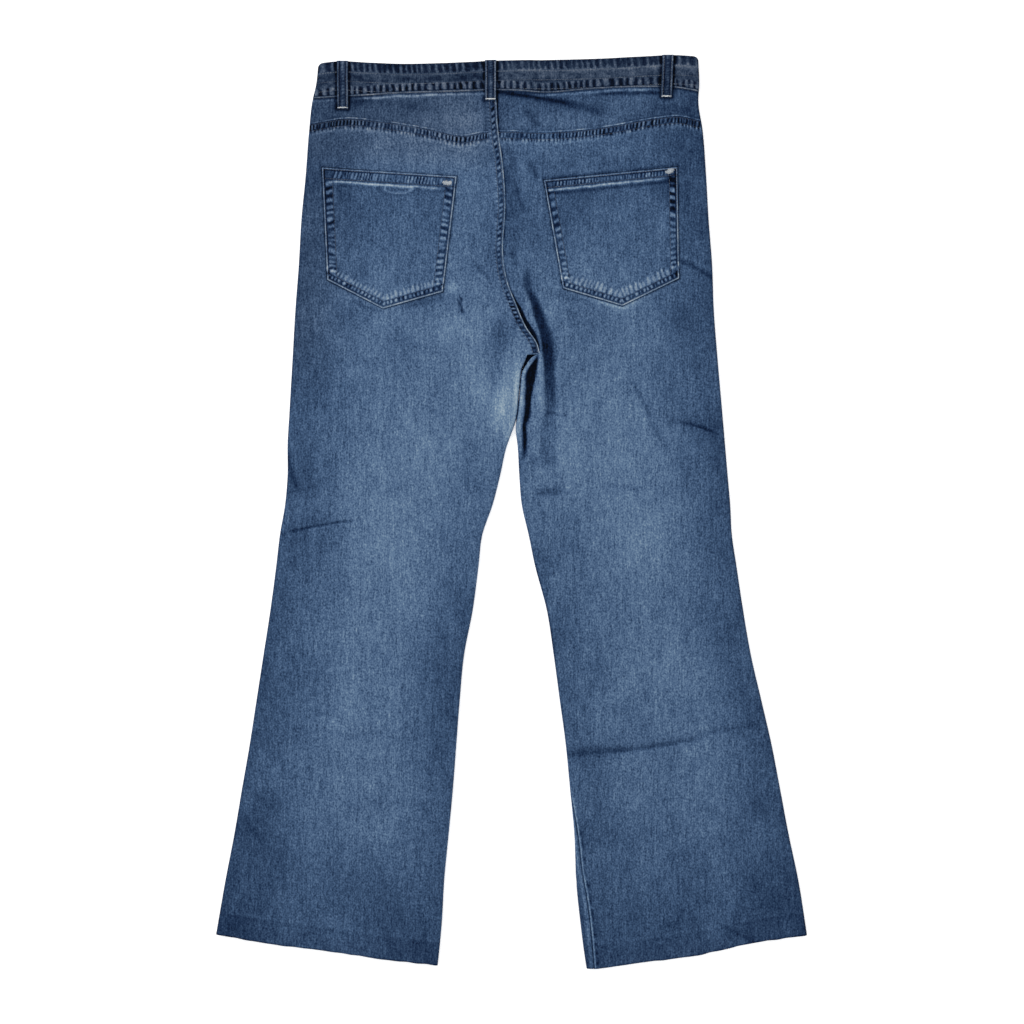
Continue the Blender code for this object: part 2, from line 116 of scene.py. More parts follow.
# %% [markdown]
# ## Sums written as Python
#
# A denim shader is mostly sums: a tone, plus a little for each yarn. Wiring Math nodes by hand hides that,
# so a small class wraps a socket and turns each operator into its node. Every other node comes from one
# method, which takes the node's type, its settings, and the values or links of its sockets.


# %% Wires and finishes
class Wire:
    """An output socket that sums can be written with."""

    def __init__(self, socket):
        self.socket = socket

    def maths(self, operation, *terms):
        tree = self.socket.id_data
        node = tree.nodes.new("ShaderNodeMath")
        node.operation = operation
        for port, term in zip(node.inputs, terms):
            if isinstance(term, Wire):
                tree.links.new(term.socket, port)
            else:
                port.default_value = term
        return Wire(node.outputs[0])

    def __add__(self, other):
        return self.maths("ADD", self, other)

    def __sub__(self, other):
        return self.maths("SUBTRACT", self, other)

    def __rsub__(self, other):
        return self.maths("SUBTRACT", other, self)

    def __mul__(self, other):
        return self.maths("MULTIPLY", self, other)

    def __abs__(self):
        return self.maths("ABSOLUTE", self)

    def fraction(self):
        return self.maths("FRACT", self)


class Finish:
    """A material being wired."""

    def __init__(self, name, **constants):
        self.material = bpy.data.materials.new(name)
        self.material.use_nodes = True
        self.tree = self.material.node_tree
        self.shader = self.tree.nodes["Principled BSDF"]
        self.set(self.shader, constants)

    def set(self, node, sockets):
        for name, value in sockets.items():
            port = node.inputs[name.replace("_", " ") if isinstance(name, str) else name]
            if isinstance(value, Wire):
                self.tree.links.new(value.socket, port)
            else:
                port.default_value = value

    def node(self, kind, settings=None, output=0, **sockets):
        """A node of this type: its settings first, a ramp's stops among them, then its sockets."""
        made = self.tree.nodes.new("ShaderNode" + kind)
        for name, value in (settings or {}).items():
            if name == "stops":
                for place, colour in value[1:-1]:
                    made.color_ramp.elements.new(place).color = colour
                for end, (place, colour) in ((0, value[0]), (-1, value[-1])):
                    made.color_ramp.elements[end].position = place
                    made.color_ramp.elements[end].color = colour
            else:
                setattr(made, name, value)
        self.set(made, sockets)
        return Wire(made.outputs[output])


def linear(*srgb):
    """A colour as it reads in a picture, 0 to 255, as the light that it stands for."""
    share = np.array(srgb) / 255
    return np.where(share > 0.04045, ((share + 0.055) / 1.055) ** 2.4, share / 12.92)


# %% [markdown]
# ## Washed indigo twill
#
# Denim is woven from blue warp yarns, which run down the leg, and white weft. The blue is only on the
# outside of each yarn, so wherever the cloth has rubbed in the wash it turns paler. One number for each
# point of the cloth, its tone, says how pale that is: 0 is black, 1 white, and it is stored on the mesh as
# an attribute. A ramp turns the tone into indigo, and three kinds of unevenness are added to it first: the
# twill's slanting lines, the grain of single yarns that took the wash differently, and slubs, which are
# thick places drawn out along the warp. The same lines feed the bump. Where the weft shows more the blue
# turns greyish, as on the waistband: a second number mixes a greyer ramp in.

# %% The ramps from tone to colour
LIGHT = 1.13  # how much brighter than its colour a level cloth is in this light


def ramp_stops(*rows):
    """Stops of a ramp, from rows of tone, red, green and blue as read in a picture."""
    return [(tone, (*(linear(*rgb) / LIGHT), 1)) for tone, *rgb in rows]


INDIGO = ramp_stops(
    (0.0, 0, 4, 14),
    (0.09, 6, 23, 51),
    (0.18, 26, 47, 77),
    (0.27, 47, 69, 99),
    (0.35, 64, 89, 122),
    (0.44, 86, 111, 143),
    (0.52, 103, 129, 158),
    (0.64, 138, 160, 178),
    (0.80, 190, 202, 210),
    (1.0, 244, 247, 246),
)
BAND_GREY = ramp_stops(
    (0.0, 0, 4, 13),
    (0.10, 8, 22, 46),
    (0.20, 33, 48, 69),
    (0.27, 51, 64, 84),
    (0.35, 69, 82, 101),
    (0.45, 97, 105, 119),
    (0.60, 134, 138, 146),
    (0.80, 184, 188, 190),
    (1.0, 244, 244, 242),
)
THREAD = ramp_stops((0.0, 12, 20, 34), (0.3, 62, 76, 98), (0.6, 144, 154, 166), (1.0, 238, 242, 242))

# %% The denim finishes
END_PITCH, PICK_PITCH = 1.45 * MM, 2.1 * MM  # the twill's repeat across the leg and along it


def twill(name, grain=0.38, slub=0.14, line=0.03):
    """Denim: its colour, its roughness and its bump from the mesh's tone, its greyness and its cloth map."""
    made = Finish(name, Sheen_Weight=0.02, Sheen_Roughness=0.5, Specular_IOR_Level=0.08)
    tone, grey = (made.node("Attribute", {"attribute_name": named}, output=2) for named in ("tone", "grey"))
    place = made.node("UVMap", {"uv_map": "cloth"})
    across = made.node("SeparateXYZ", Vector=place)
    along = Wire(across.socket.node.outputs[1])

    def noise(width, length, detail, lean=0.0):
        size = (1 / (width * MM), 1 / (length * MM), 1.0)
        at = made.node("Mapping", Vector=place, Scale=size, Rotation=(0, 0, lean))
        return made.node("TexNoise", {"noise_dimensions": "2D"}, Vector=at, Scale=1.0, Detail=detail) - 0.5

    yarns = noise(1.7, 2.2, 1.0, 0.2)
    tufts = noise(3.0, 6.0, 1.0, -0.1)
    slubs = noise(1.6, 22.0, 1.0)
    streaks = noise(4.5, 90.0, 1.0)
    patches = noise(8.0, 17.0, 3.0)
    slant = (across * (1 / END_PITCH) + along * (1 / PICK_PITCH) + yarns * 0.7).fraction()
    rib = abs(slant - 0.5) * 2.0
    uneven = yarns * grain + tufts * (grain * 0.5) + slubs * slub + patches * 0.11
    uneven = uneven + streaks * 0.08 + (rib - 0.5) * line
    shade = tone + uneven * (1.05 - abs(tone - 0.42) * 1.5)
    blue, dull = (made.node("ValToRGB", {"stops": stops}, Fac=shade) for stops in (INDIGO, BAND_GREY))
    colour = made.node("Mix", {"data_type": "RGBA"}, output=2)
    made.set(colour.socket.node, {0: grey, 6: blue, 7: dull})
    height = rib * 0.3 + yarns * 0.8 + slubs * 0.6
    bump = made.node("Bump", Strength=0.5, Distance=0.35 * MM, Height=height)
    made.set(made.shader, {"Base Color": colour, "Roughness": 0.97 - shade * 0.2, "Normal": bump})
    return made.material


DENIM = twill("denim")
DARK_DENIM = twill("dark_denim", grain=0.36, slub=0.12)
print("denim finishes:", DENIM.name, DARK_DENIM.name)

# %% [markdown]
# ## The pattern's curves
#
# A cutter's pattern is a handful of curves, each known at a few measured points, in millimetres: X across
# the jeans, Y up to the waistband. They follow the solids' curves, but for up to 2 mm at the waistband's
# edges and 4 mm at the crotch, where they were measured again. A cubic whose slopes come from the
# neighbouring points joins them, so a table needs only as many points as the curve has turns.


# %% Curves through a few points, and uneven but repeatable chance
def table(columns, *rows):
    """Rows of numbers as one array for each named column."""
    return dict(zip(columns.split(), np.array(rows, float).T))


def smooth(at, xs, ys):
    """The curve through a table's points: a cubic between each two, with slopes from their neighbours."""
    order = np.argsort(xs)
    xs, ys = xs[order], ys[order]
    slopes = np.gradient(ys, xs)
    at = np.clip(at, xs[0], xs[-1])
    i = np.clip(np.searchsorted(xs, at) - 1, 0, len(xs) - 2)
    wide = xs[i + 1] - xs[i]
    t = (at - xs[i]) / wide
    ends = (1 + 2 * t) * (1 - t) ** 2 * ys[i] + t * t * (3 - 2 * t) * ys[i + 1]
    return ends + wide * (t * (1 - t) ** 2 * slopes[i] - t * t * (1 - t) * slopes[i + 1])


def curve(rows, along, value):
    return lambda at: smooth(at, rows[along], rows[value])


def ease(value, low, high):
    """0 at low and below, 1 at high and above, with a soft S between. low may be the larger."""
    t = np.clip((value - low) / (high - low), 0, 1)
    return t * t * (3 - 2 * t)


def bell(value, reach):
    return np.exp(-((value / reach) ** 2))


def band_of(value, start, stop, soft=1.0):
    """1 between two distances and 0 outside, with soft borders."""
    return ease(value, start - soft / 2, start + soft / 2) * ease(value, stop + soft / 2, stop - soft / 2)


LINE_NET, AREA_NET = 1024, 256  # how many steps there are before chance repeats


def chance(at, step, seed):
    """A fresh height in -1 to 1 every step, and a soft S from each to the next."""
    heights = np.random.default_rng(seed).uniform(-1, 1, LINE_NET)
    place = np.asarray(at) / step
    first = np.floor(place).astype(int)
    t = ease(place - first, 0, 1)
    return heights[first % LINE_NET] * (1 - t) + heights[(first + 1) % LINE_NET] * t


def mottle(x, y, step, seed):
    """The same over an area: fresh heights at the crossings of a net, joined softly both ways."""
    heights = np.random.default_rng(seed).uniform(-1, 1, (AREA_NET, AREA_NET))
    i, j = np.floor(x / step).astype(int), np.floor(y / step).astype(int)
    s, t = ease(x / step - i, 0, 1), ease(y / step - j, 0, 1)
    i_next, j_next = (i + 1) % AREA_NET, (j + 1) % AREA_NET
    i, j = i % AREA_NET, j % AREA_NET
    low = heights[i, j] * (1 - s) + heights[i_next, j] * s
    high = heights[i, j_next] * (1 - s) + heights[i_next, j_next] * s
    return low * (1 - t) + high * t


# %% The outline: sides, inside legs, waist, seams and hems
SIDES = table(
    "y left right",
    (523, -224, 217),
    (495, -227, 218),
    (478, -231, 217),
    (443, -235, 222),
    (391, -239, 226),
    (339, -244, 229),
    (287, -247, 233),
    (234, -251, 235),
    (182, -254, 239),
    (113, -258, 245),
    (78, -260, 248),
    (43, -260, 251),
    (8, -263, 254),
    (-27, -269, 256),
    (-61, -273, 261),
    (-114, -280, 269),
    (-166, -288, 278),
    (-218, -296, 290),
    (-270, -304, 302),
    (-322, -313, 312),
    (-375, -322, 322),
    (-427, -332, 333),
    (-490, -343, 343),
)
INSIDE_LEG = table(
    "y left right",
    (184, 18.5, 31.5),
    (180.5, 17.5, 25.0),
    (177, 16.2, 21.2),
    (170.5, 13.6, 16.9),
    (163, 11.4, 12.6),
    (158, 10.8, 11.1),
    (136, 8.8, 9.1),
    (106, 5.0, 5.4),
    (95, 1.4, 5.0),
    (78, -5, 7),
    (43, -13, 9),
    (8, -22, 12),
    (-27, -34, 20),
    (-61, -38, 27),
    (-114, -45, 41),
    (-166, -55, 49),
    (-218, -60, 56),
    (-270, -64, 63),
    (-322, -68, 68),
    (-375, -73, 73),
    (-427, -78, 75),
    (-479, -81, 80),
    (-530, -86, 87),
)
CENTRE_BACK = table(
    "y x",
    (490, -19),
    (440, -16),
    (403, -11),
    (361, -8),
    (291, -10),
    (269, -6),
    (240, 5),
    (215, 16),
    (195, 29),
    (184, 32),
)
CENTRE_FRONT = table("y x", (520, -6), (400, -4), (300, 0), (230, 6), (185, 14), (168, 13.5), (160, 11.2))
WAIST = table(
    "x top bottom",
    (-226, 520, 479.5),
    (-200, 522.8, 481.2),
    (-165, 521.4, 483.2),
    (-130, 519.8, 485.2),
    (-85, 520.5, 486.8),
    (-31, 522.6, 488.2),
    (0, 523.2, 487.8),
    (45, 524.2, 486),
    (75, 524.9, 488.6),
    (108, 526, 491),
    (148, 528.2, 492.5),
    (190, 530, 492),
    (219, 528, 487),
)
YOKE_SEAM = table(
    "x y",
    (-236, 450),
    (-215, 454),
    (-194, 457),
    (-154, 454),
    (-92, 444),
    (-56, 437),
    (-32, 441),
    (-14, 442),
    (39, 441),
    (75, 443),
    (108, 447),
    (171, 458),
    (190, 460),
    (222, 454),
)
HEM = table(
    "x y",
    (-343, -490),
    (-283, -501),
    (-213, -510),
    (-144, -520),
    (-97, -525),
    (-70, -527),
    (0, -530),
    (60, -530),
    (95, -530),
    (144, -524),
    (213, -515),
    (283, -500),
    (343, -491),
)
# Near the right hem the inseam has turned onto the top: its distance round the edge.
INSEAM_TURN = table(
    "y round",
    (-300, 0),
    (-341, 2.5),
    (-379, 5.5),
    (-415, 8.4),
    (-442, 11.3),
    (-478, 12.6),
    (-530, 10.3),
)
side = {which: curve(SIDES, "y", which) for which in ("left", "right")}
inside_leg = {which: curve(INSIDE_LEG, "y", which) for which in ("left", "right")}
centre_back = curve(CENTRE_BACK, "y", "x")
centre_front = curve(CENTRE_FRONT, "y", "x")
waist_top, waist_bottom = curve(WAIST, "x", "top"), curve(WAIST, "x", "bottom")
yoke_seam = curve(YOKE_SEAM, "x", "y")
inseam_turn = curve(INSEAM_TURN, "y", "round")


cut_line = curve(HEM, "x", "y")


def hem(x):
    """The cut edge, which was never sewn and waves a little."""
    return cut_line(x) + 0.5 * chance(x, 11, 3)


FRONT_DIP = 14.0
BAND_LEVEL = 500.0  # a height inside the waistband


def dip(x):
    """How much lower the front of the waist is cut than the back."""
    return FRONT_DIP * (1 - np.clip(x / side["right"](BAND_LEVEL), -1, 1) ** 2) ** 2


print("outside leg:", waist_top(-224.0) - HEM["y"][0], "mm")

# %% [markdown]
# ## How high the cloth lies
#
# Two layers of denim are about 5 mm high with air between them, and a little more at a side, where the
# cloth rolls over instead of creasing. A button and two belt loops underneath hold the waist up. The folds
# are soft troughs and ridges along their own lines. Each has a steep and a gentle flank, a length it fades
# out over, and a shade: in a trough it is partly indigo that has kept its colour and partly painted shade,
# and along a ridge it is partly rubbed pale and partly painted light.

# %% Sizes of the cloth, in mm
WALL, BAND_WALL, LOOP_WALL = 1.2, 2.4, 1.8
SEAM, OVER = 0.3, 0.4
LEG_EDGE, LEG_MIDDLE, EDGE_REACH = 6.0, 4.8, 40.0
BAND_EDGE, BAND_MIDDLE = 7.8, 5.7
FLY_LAP, FLY_END = 5.0, 345.0
BAND_LAP = (-16.0, 20.0)
BUTTON_PLACE, BUTTON_LIFT, BUTTON_REACH = 8.0, 3.3, (16.0, 55.0)
LOOP_HALF, LOOP_LIFT = 6.7, LOOP_WALL + OVER
LIFT_HALF, LIFT_LOW = (125.0, 185.0), (395.0, 437.0)
CROTCH, FRONT_CROTCH = 183.0, 160.0

# Each fold's shade is its change of tone: part wear, part painted shade in a trough and painted light on a
# ridge.
FOLDS = table(
    "x0 y0 x1 y1 bow left right rise shade",
    (-6, 160, -16, 90, 0, 18, 18, 1.2, 0.02),  # fullness at the left crotch
    (-16, 208, -22, 132, 0, 6, 7, -0.6, -0.05),  # hollow to the left of it
    (11, 258, 37, 202, 0, 4, 4, 1.4, 0.05),  # ridge between the valley and the trough
    (34.5, 186, 33, 118, 0, 4, 4, 1.7, 0.07),
    (-1, 424, 2, 396, 0, 3, 3, -0.5, -0.06),  # slack of the right seat, beside its seam
    (5, 412, 16, 392, 0, 3, 3, 0.5, 0.05),
    (4, 384, 13, 348, 0, 2.2, 3.5, -0.6, -0.10),
    (9, 396, 16, 372, 0, 2.5, 2.5, 0.4, 0.04),
    (22, 404, 30, 388, 0, 3, 3.5, -0.5, -0.09),
    (1, 306, 3, 286, 0, 2, 3, -0.4, -0.05),
    (19.5, 282, 19, 262, 0, 3, 3, -0.5, -0.08),
    (42, 262, 92, 254, 0, 3, 5, 0.5, 0.04),  # under the right pocket
    (40, 254, 88, 244, 0, 3, 5, -0.5, -0.05),
    (-266, -25, -186, -10, -1.4, 1.3, 1.3, -0.8, -0.18),  # crease at the left knee
    (-252, -14, -205, -6, 0, 6, 6, 0.4, -0.03),
    (-259, 66, -247, 24, -2, 2.0, 2.2, -0.7, -0.13),
    (-234, 34, -222, 26, 0, 8, 8, -0.3, -0.04),
    (-312, -354, -289, -384, 0, 3, 4, -0.4, -0.05),
    (238, -477, 284, -500, 0, 2, 3, -0.5, -0.07),
    (-222, -252, -196, -258, 0, 2, 3, -0.5, -0.05),
    (-190, -260, -140, -252, 2, 2, 3.5, -0.5, -0.05),
    (-76, -232, -62, -244, 0, 3, 4, -0.8, -0.06),
    (137, 154, 160, 112, 1, 1.2, 2.0, -0.8, -0.14),  # creases of the right thigh
    (157, 118, 182, 70, -2, 2.6, 3.4, -0.6, -0.06),
    (196, 104, 237, 91, 1.5, 1.3, 2.2, -0.7, -0.15),
    (180, 108, 236, 96, 0, 9, 9, -0.4, -0.04),
    (28, 21, 62, 23.5, 0, 6.5, 2.2, -0.9, -0.12),  # hollow behind the right knee
    (22, 60, 52, 56, 0, 5, 5, -0.5, -0.06),
    (41, 115.5, 66, 111, 0, 1.6, 2.4, -0.4, -0.09),
    (110, 33, 150, 28, -2, 3, 2, -0.5, -0.06),
    (50, -287, 132, -277, -1.5, 7.0, 1.9, -1.0, -0.09),  # trough across the right calf
    (118, -278, 224, -261, 2.4, 4.0, 1.9, -1.0, -0.11),
    (74, -285, 205, -264, 2, 8.0, 3.0, -0.4, -0.03),
    (216, -258, 292, -246, 0, 4, 2.5, -0.5, -0.06),
    (190, 293, 234, 270, 2, 1.8, 2.8, -0.8, -0.13),  # short crease at the right hip
    (192, 300, 236, 277, 2, 3.0, 3.0, 0.4, 0.04),
    (-58.5, 250, -60.5, 239, 0, 1.6, 1.8, -0.5, -0.28),  # fork of creases beside the left pocket
    (-60.5, 240, -56, 230, 0, 1.6, 2.0, -0.5, -0.26),
    (-124, 238.5, -74, 250, 0, 3.5, 4, -0.5, -0.08),
    (-182, 243, -150, 231, 0, 2, 3, -0.5, -0.10),
    (-40, 287, -25, 270, 0, 2.4, 2.0, -0.5, -0.11),
    (-44, 282, -31, 267, 0, 3, 3, 0.4, 0.05),
    (-22, 486.2, 70, 473.5, 1.6, 2.8, 2.6, -1.0, -0.15),  # slack of the right yoke under the band
    (-26, 486, 22, 481.5, 0, 2.4, 2.4, -0.4, -0.10),
    (18, 482, 110, 461.5, 1.2, 4.5, 6, -0.9, -0.10),
    (52, 482, 100, 475, 0, 3, 3, 0.6, 0.05),
    (98, 485, 176, 487, 0, 2.4, 2.6, -0.7, -0.17),
    (14, 466, 33, 447, 0, 3.5, 4, -0.5, -0.09),
    (164, 470, 212, 466.5, 0, 4, 4, -0.5, -0.05),
    (-208, 470, -168, 478, 0, 4, 5, -0.6, -0.07),
    (-190, 478, -92, 470, 0, 5, 6, -0.5, -0.05),
)
# Crevices at the crotch, darkened with painted shade: where each starts to darken, is fully dark, is so no
# longer, and ends.
TROUGH = table(
    "y x0 x1 x2 x3 rise shade",
    (284, 11, 15, 17, 23, 0, 0),
    (264, 12, 16, 19, 27, -0.8, -0.15),
    (243, 20, 25, 29, 35, -1.5, -0.29),
    (223, 26, 29.5, 36, 44, -1.6, -0.30),
    (209, 31.5, 34, 41, 50, -1.6, -0.30),
    (195, 34, 36.5, 43.5, 53, -1.6, -0.31),
    (181, 35, 38, 45, 54, -1.6, -0.32),
    (167, 36.5, 39.5, 46.5, 53, -1.6, -0.28),
    (139, 37.5, 41, 48, 54, -1.4, -0.22),
    (125, 37, 42, 48, 55, -1.2, -0.17),
    (104, 33, 40, 46, 56, -0.9, -0.11),
    (83, 31, 38, 44, 54, -0.7, -0.08),
    (68, 30, 37, 46, 55, -0.6, -0.09),
    (50, 30, 37, 43, 52, 0, 0),
)
DEEP_FOLD = table(
    "y x0 x1 x2 x3 rise shade",
    (184, 28, 30, 31, 33, 0, 0),
    (178.5, 27, 29, 30.2, 32, -1.2, -0.36),
    (169.5, 20.3, 23.0, 28.0, 31, -2.6, -0.60),
    (158, 13.9, 19.6, 25.6, 29.3, -2.7, -0.60),
    (146, 13.9, 20.2, 23.8, 26.9, -2.7, -0.60),
    (134.5, 13.5, 18.6, 22.0, 24.3, -2.7, -0.58),
    (123, 13.9, 18.2, 20.4, 24.0, -2.6, -0.54),
    (111.5, 13.5, 15.7, 17.8, 25.2, -2.1, -0.46),
    (100, 11.8, 13.9, 15.8, 18.6, -1.9, -0.47),
    (88, 11.9, 14.5, 16.0, 19.6, -1.7, -0.42),
    (76.5, 11.2, 15.2, 16.6, 19.2, -1.4, -0.36),
    (68, 10.2, 14.4, 16.0, 19.0, -0.8, -0.20),
    (58, 9, 13, 15, 18, 0, 0),
)
# The valley along the right of the seat seam, darkened with painted shadow: how wide it is.
VALLEY = table(
    "y wide rise shade",
    (262, 1.5, -0.3, -0.10),
    (246, 2.2, -0.8, -0.24),
    (236, 4.2, -1.7, -0.44),
    (223, 4.8, -2.0, -0.52),
    (214, 6.0, -2.1, -0.55),
    (207, 5.6, -2.0, -0.52),
    (201, 3.2, -1.6, -0.44),
    (194, 2.0, -1.0, -0.30),
    (186, 1.0, -0.4, -0.14),
)


# %% Heights of the faces
def fold_sum(x, y, column):
    """Every fold's rise or shade here (the shade is part wear, part painted shade and light): a bell across
    its bowed line, fading out past both ends.
    """
    total = np.zeros(np.broadcast(x, y).shape)
    rows = [FOLDS[name] for name in "x0 y0 x1 y1 bow left right".split()] + [FOLDS[column]]
    for x0, y0, x1, y1, bow, left, right, size in zip(*rows):
        long = math.hypot(x1 - x0, y1 - y0)
        ux, uy = (x1 - x0) / long, (y1 - y0) / long
        along = ((x - x0) * ux + (y - y0) * uy) / long
        bowed = bow * 4 * along * (1 - along)
        aside = (x - x0) * uy - (y - y0) * ux - bowed * np.sign(uy or 1)
        to_right = aside * np.sign(uy or 1) > 0
        inside = ease(along, -0.12, 0.15) * ease(along, 1.12, 0.85)
        total = total + size * inside * bell(aside, np.where(to_right, right, left))
    return total


def crevice_sum(x, y, column):
    """The crevices' rise or painted shade here, which ramps up and down between the four edges of each."""
    total = 0.0
    for rows in (TROUGH, DEEP_FOLD):
        x0, x1, x2, x3, size = (curve(rows, "y", name)(y) for name in ("x0", "x1", "x2", "x3", column))
        total = total + size * ease(x, x0, x1) * ease(x, x3, x2)
    past, wide = x - centre_back(y) - 0.2, curve(VALLEY, "y", "wide")(y)
    inside = ease(past, -0.2, 0.6) * ease(past, wide + 1.6, wide - 0.4)
    inside = inside * ease(y, 268, 258) * ease(y, 184, 188)
    return total + curve(VALLEY, "y", column)(y) * inside


def button_centre():
    y = (waist_top(BUTTON_PLACE) + waist_bottom(BUTTON_PLACE)) / 2 - dip(BUTTON_PLACE)
    return centre_front(y) + BUTTON_PLACE, y


def lift(x, y):
    """How far the button and the front loops hold the cloth off the floor."""
    x_button, y_button = button_centre()
    far = np.hypot(x - x_button, y - y_button)
    over_button = (BUTTON_LIFT - LOOP_LIFT) * ease(far, *BUTTON_REACH[::-1])
    return over_button + LOOP_LIFT * ease(np.abs(x), *LIFT_HALF[::-1]) * ease(y, *LIFT_LOW)


def band_lap(x):
    """1 where the ends of the waistband lie on each other, and 0 beyond."""
    left, right = centre_front(BAND_LEVEL) + np.array(BAND_LAP)
    return ease(x, left - 22, left - 2) * ease(x, right + 22, right + 2)


def side_distances(x, y):
    """How far a point is from its leg's inner and outer side. The inner counts less near the crotch."""
    left_leg = x < (inside_leg["left"](y) + inside_leg["right"](y)) / 2
    inner = np.where(left_leg, inside_leg["left"](y) - x, x - inside_leg["right"](y))
    outer = np.where(left_leg, x - side["left"](y), side["right"](y) - x)
    return np.maximum(inner, 0) + 110 * ease(y, 40, CROTCH), np.maximum(outer, 0)


def side_distance(x, y):
    return np.minimum(*side_distances(x, y))


LOWEST_TOP = 2 * WALL + 0.35  # the upper layer never sinks into the one under it


def leg_top(x, y):
    """Upper face of the back panels and yokes: edge and middle height, folds, and slow undulations."""
    near = bell(side_distance(x, y), EDGE_REACH)
    over_lap = (BAND_WALL + OVER) * band_lap(x) * ease(y, 425, 480)
    waves = 0.30 * mottle(x, y, 42, 11) + 0.14 * mottle(x, y, 15, 12)
    level = LEG_MIDDLE + (LEG_EDGE - LEG_MIDDLE) * near + over_lap + waves
    folded = level + fold_sum(x, y, "rise") + crevice_sum(x, y, "rise")
    return lift(x, y) + np.maximum(folded, LOWEST_TOP)


def band_top(x, y):
    near = bell(side_distance(x, y), EDGE_REACH)
    over_lap = (BAND_WALL + OVER) * band_lap(x)
    return BAND_MIDDLE + (BAND_EDGE - BAND_MIDDLE) * near + over_lap + lift(x, y)


def front_right_face(x, y):
    """Lower face of the right front, held up along the fly by the left front under it."""
    past = x - centre_front(y)
    return lift(x, y) + (WALL + OVER) * ease(past, 22, 7) * ease(y, FLY_END - 20, FLY_END)


def band_right_face(x, y):
    """Lower face of the right end of the band, which lies on its left end."""
    past = x - centre_front(BAND_LEVEL) - BAND_LAP[1]
    return lift(x, y) + (BAND_WALL + OVER) * ease(past, 22, 2)


print("cloth at the thigh:", np.round(leg_top(np.array([-120.0]), np.array([50.0])), 2), "mm")

# %% [markdown]
# ## How pale the cloth is
#
# These jeans were washed with stones and then worn. The tone is palest down the middle of each leg and on
# the inner thighs, and stays dark at the sides, on the yoke and at the hems. On top of that come the worn
# and dark patches by name, the shade of each fold, painted shade in the crevices and where the cloth turns
# under, a painted shadow beside the seat seam, and a cloudy unevenness at three sizes.

# %% Tone over the panels
FADE = table(
    "y middle edge",
    (440, 0.365, 0.270),
    (300, 0.370, 0.270),
    (180, 0.410, 0.290),
    (60, 0.445, 0.300),
    (-150, 0.410, 0.290),
    (-300, 0.395, 0.280),
    (-400, 0.350, 0.262),
    (-470, 0.292, 0.240),
    (-530, 0.268, 0.225),
)
PATCHES = table(
    "x y wide high change",
    (-8, 124, 12, 32, 0.12),  # bright inner left thigh
    (-30, 140, 12, 18, 0.07),
    (-14, 131, 7, 20, 0.06),
    (6, 150, 9, 26, 0.09),
    (-13, 206, 14, 17, -0.11),  # and the dark over it
    (-45, 172, 24, 28, 0.035),
    (-68, 214, 30, 16, 0.07),  # under the left pocket
    (-68, 260, 7, 6, 0.16),
    (-80, 402, 40, 12, 0.035),
    (-140, 366, 28, 20, -0.05),
    (-26, 340, 15, 80, -0.03),  # beside the seat seam, on both sides
    (60, 330, 60, 90, -0.04),
    (-2, 385, 16, 45, -0.035),
    (110, 425, 70, 22, -0.045),
    (70, 434, 28, 14, 0.035),
    (90, 402, 75, 9, -0.035),
    (143, 403, 24, 9, -0.03),
    (40, 246, 13, 26, 0.04),
    (84, 303, 30, 28, 0.05),
    (177, 155, 27, 85, -0.04),  # the right leg's outer thigh
    (215, 120, 34, 80, -0.03),
    (60, -40, 30, 50, -0.035),
    (247, -15, 14, 20, 0.035),
    (-205, -40, 30, 45, -0.045),
    (-268, -190, 20, 30, 0.035),
    (-290, -310, 30, 32, 0.045),
    (-262, -404, 60, 24, -0.03),
    (250, -330, 35, 45, 0.03),
    (350, -365, 14, 50, -0.04),
    (60, -405, 30, 40, 0.02),
    (102, 223, 30, 30, -0.03),
)


def wear(x, y):
    """Tone of the panels: pale in the middle of the leg, dark at its sides, and the named patches."""
    inner, outer = side_distances(x, y)
    weight = 0.5 + 0.55 * ease(x, 0, -20) * band_of(y, -345, -105, 130)
    outward = np.minimum(1 - ease(outer, 0, 108 - 14 * ease(x, 0, 40)) + weight * (1 - ease(inner, 0, 85)), 1)
    tone = curve(FADE, "y", "middle")(y) * (1 - outward) + curve(FADE, "y", "edge")(y) * outward
    for px, py, wide, high, change in zip(*PATCHES.values()):
        tone = tone + change * np.exp(-(((x - px) / wide) ** 2) - ((y - py) / high) ** 2)
    clouds = 0.024 * mottle(x, y, 48, 21) + 0.024 * mottle(x, 0.6 * y, 17, 22)
    return tone + (clouds + 0.018 * mottle(x, 0.6 * y, 6, 23))


def greyness(x, y):
    """Greyer towards the upper left: on the left hip and yoke, a little on the whole yoke, and along the left
    side.
    """
    return 0.30 * ease(x, 20, -60) * ease(y, 385, 430) + 0.10 * ease(y, 438, 448) + 0.26 * bell(
        x - side["left"](y), 45
    ) * band_of(y, 170, 400, 120)


def outline_shade_and_wear(x, y):
    """Painted shade just inside the outer sides, where the cloth turns under; worn pale along the inner ones.
    A painted shadow line marks the slit between the legs below the crotch, and painted shade runs along the
    right leg's inner edge.
    """
    outer = np.minimum(x - side["left"](y), side["right"](y) - x)
    left, right = inside_leg["left"](y) - x, x - inside_leg["right"](y)
    worn = 0.10 * bell(np.maximum(left, right) - 3.2, 3.4) * ease(y, 181, 170) * ease(y, 60, 105)
    # a painted shadow line on the left leg's inner edge, where the slit between the legs lies dark
    slit_shadow = 0.55 * bell(left + 0.2, 0.85) * ease(y, 174, 167) * ease(y, 95, 102)
    # painted shade along the right leg's inner edge
    turned = (0.09 + 0.08 * band_of(y, -180, -50, 40)) * bell(right, 2.2)
    turned = turned * ease(y, 76, 60) * ease(y, -300, -250)
    # the last term is painted shade where the outer sides turn under
    return worn - slit_shadow - turned - 0.10 * bell(outer, 1.6)


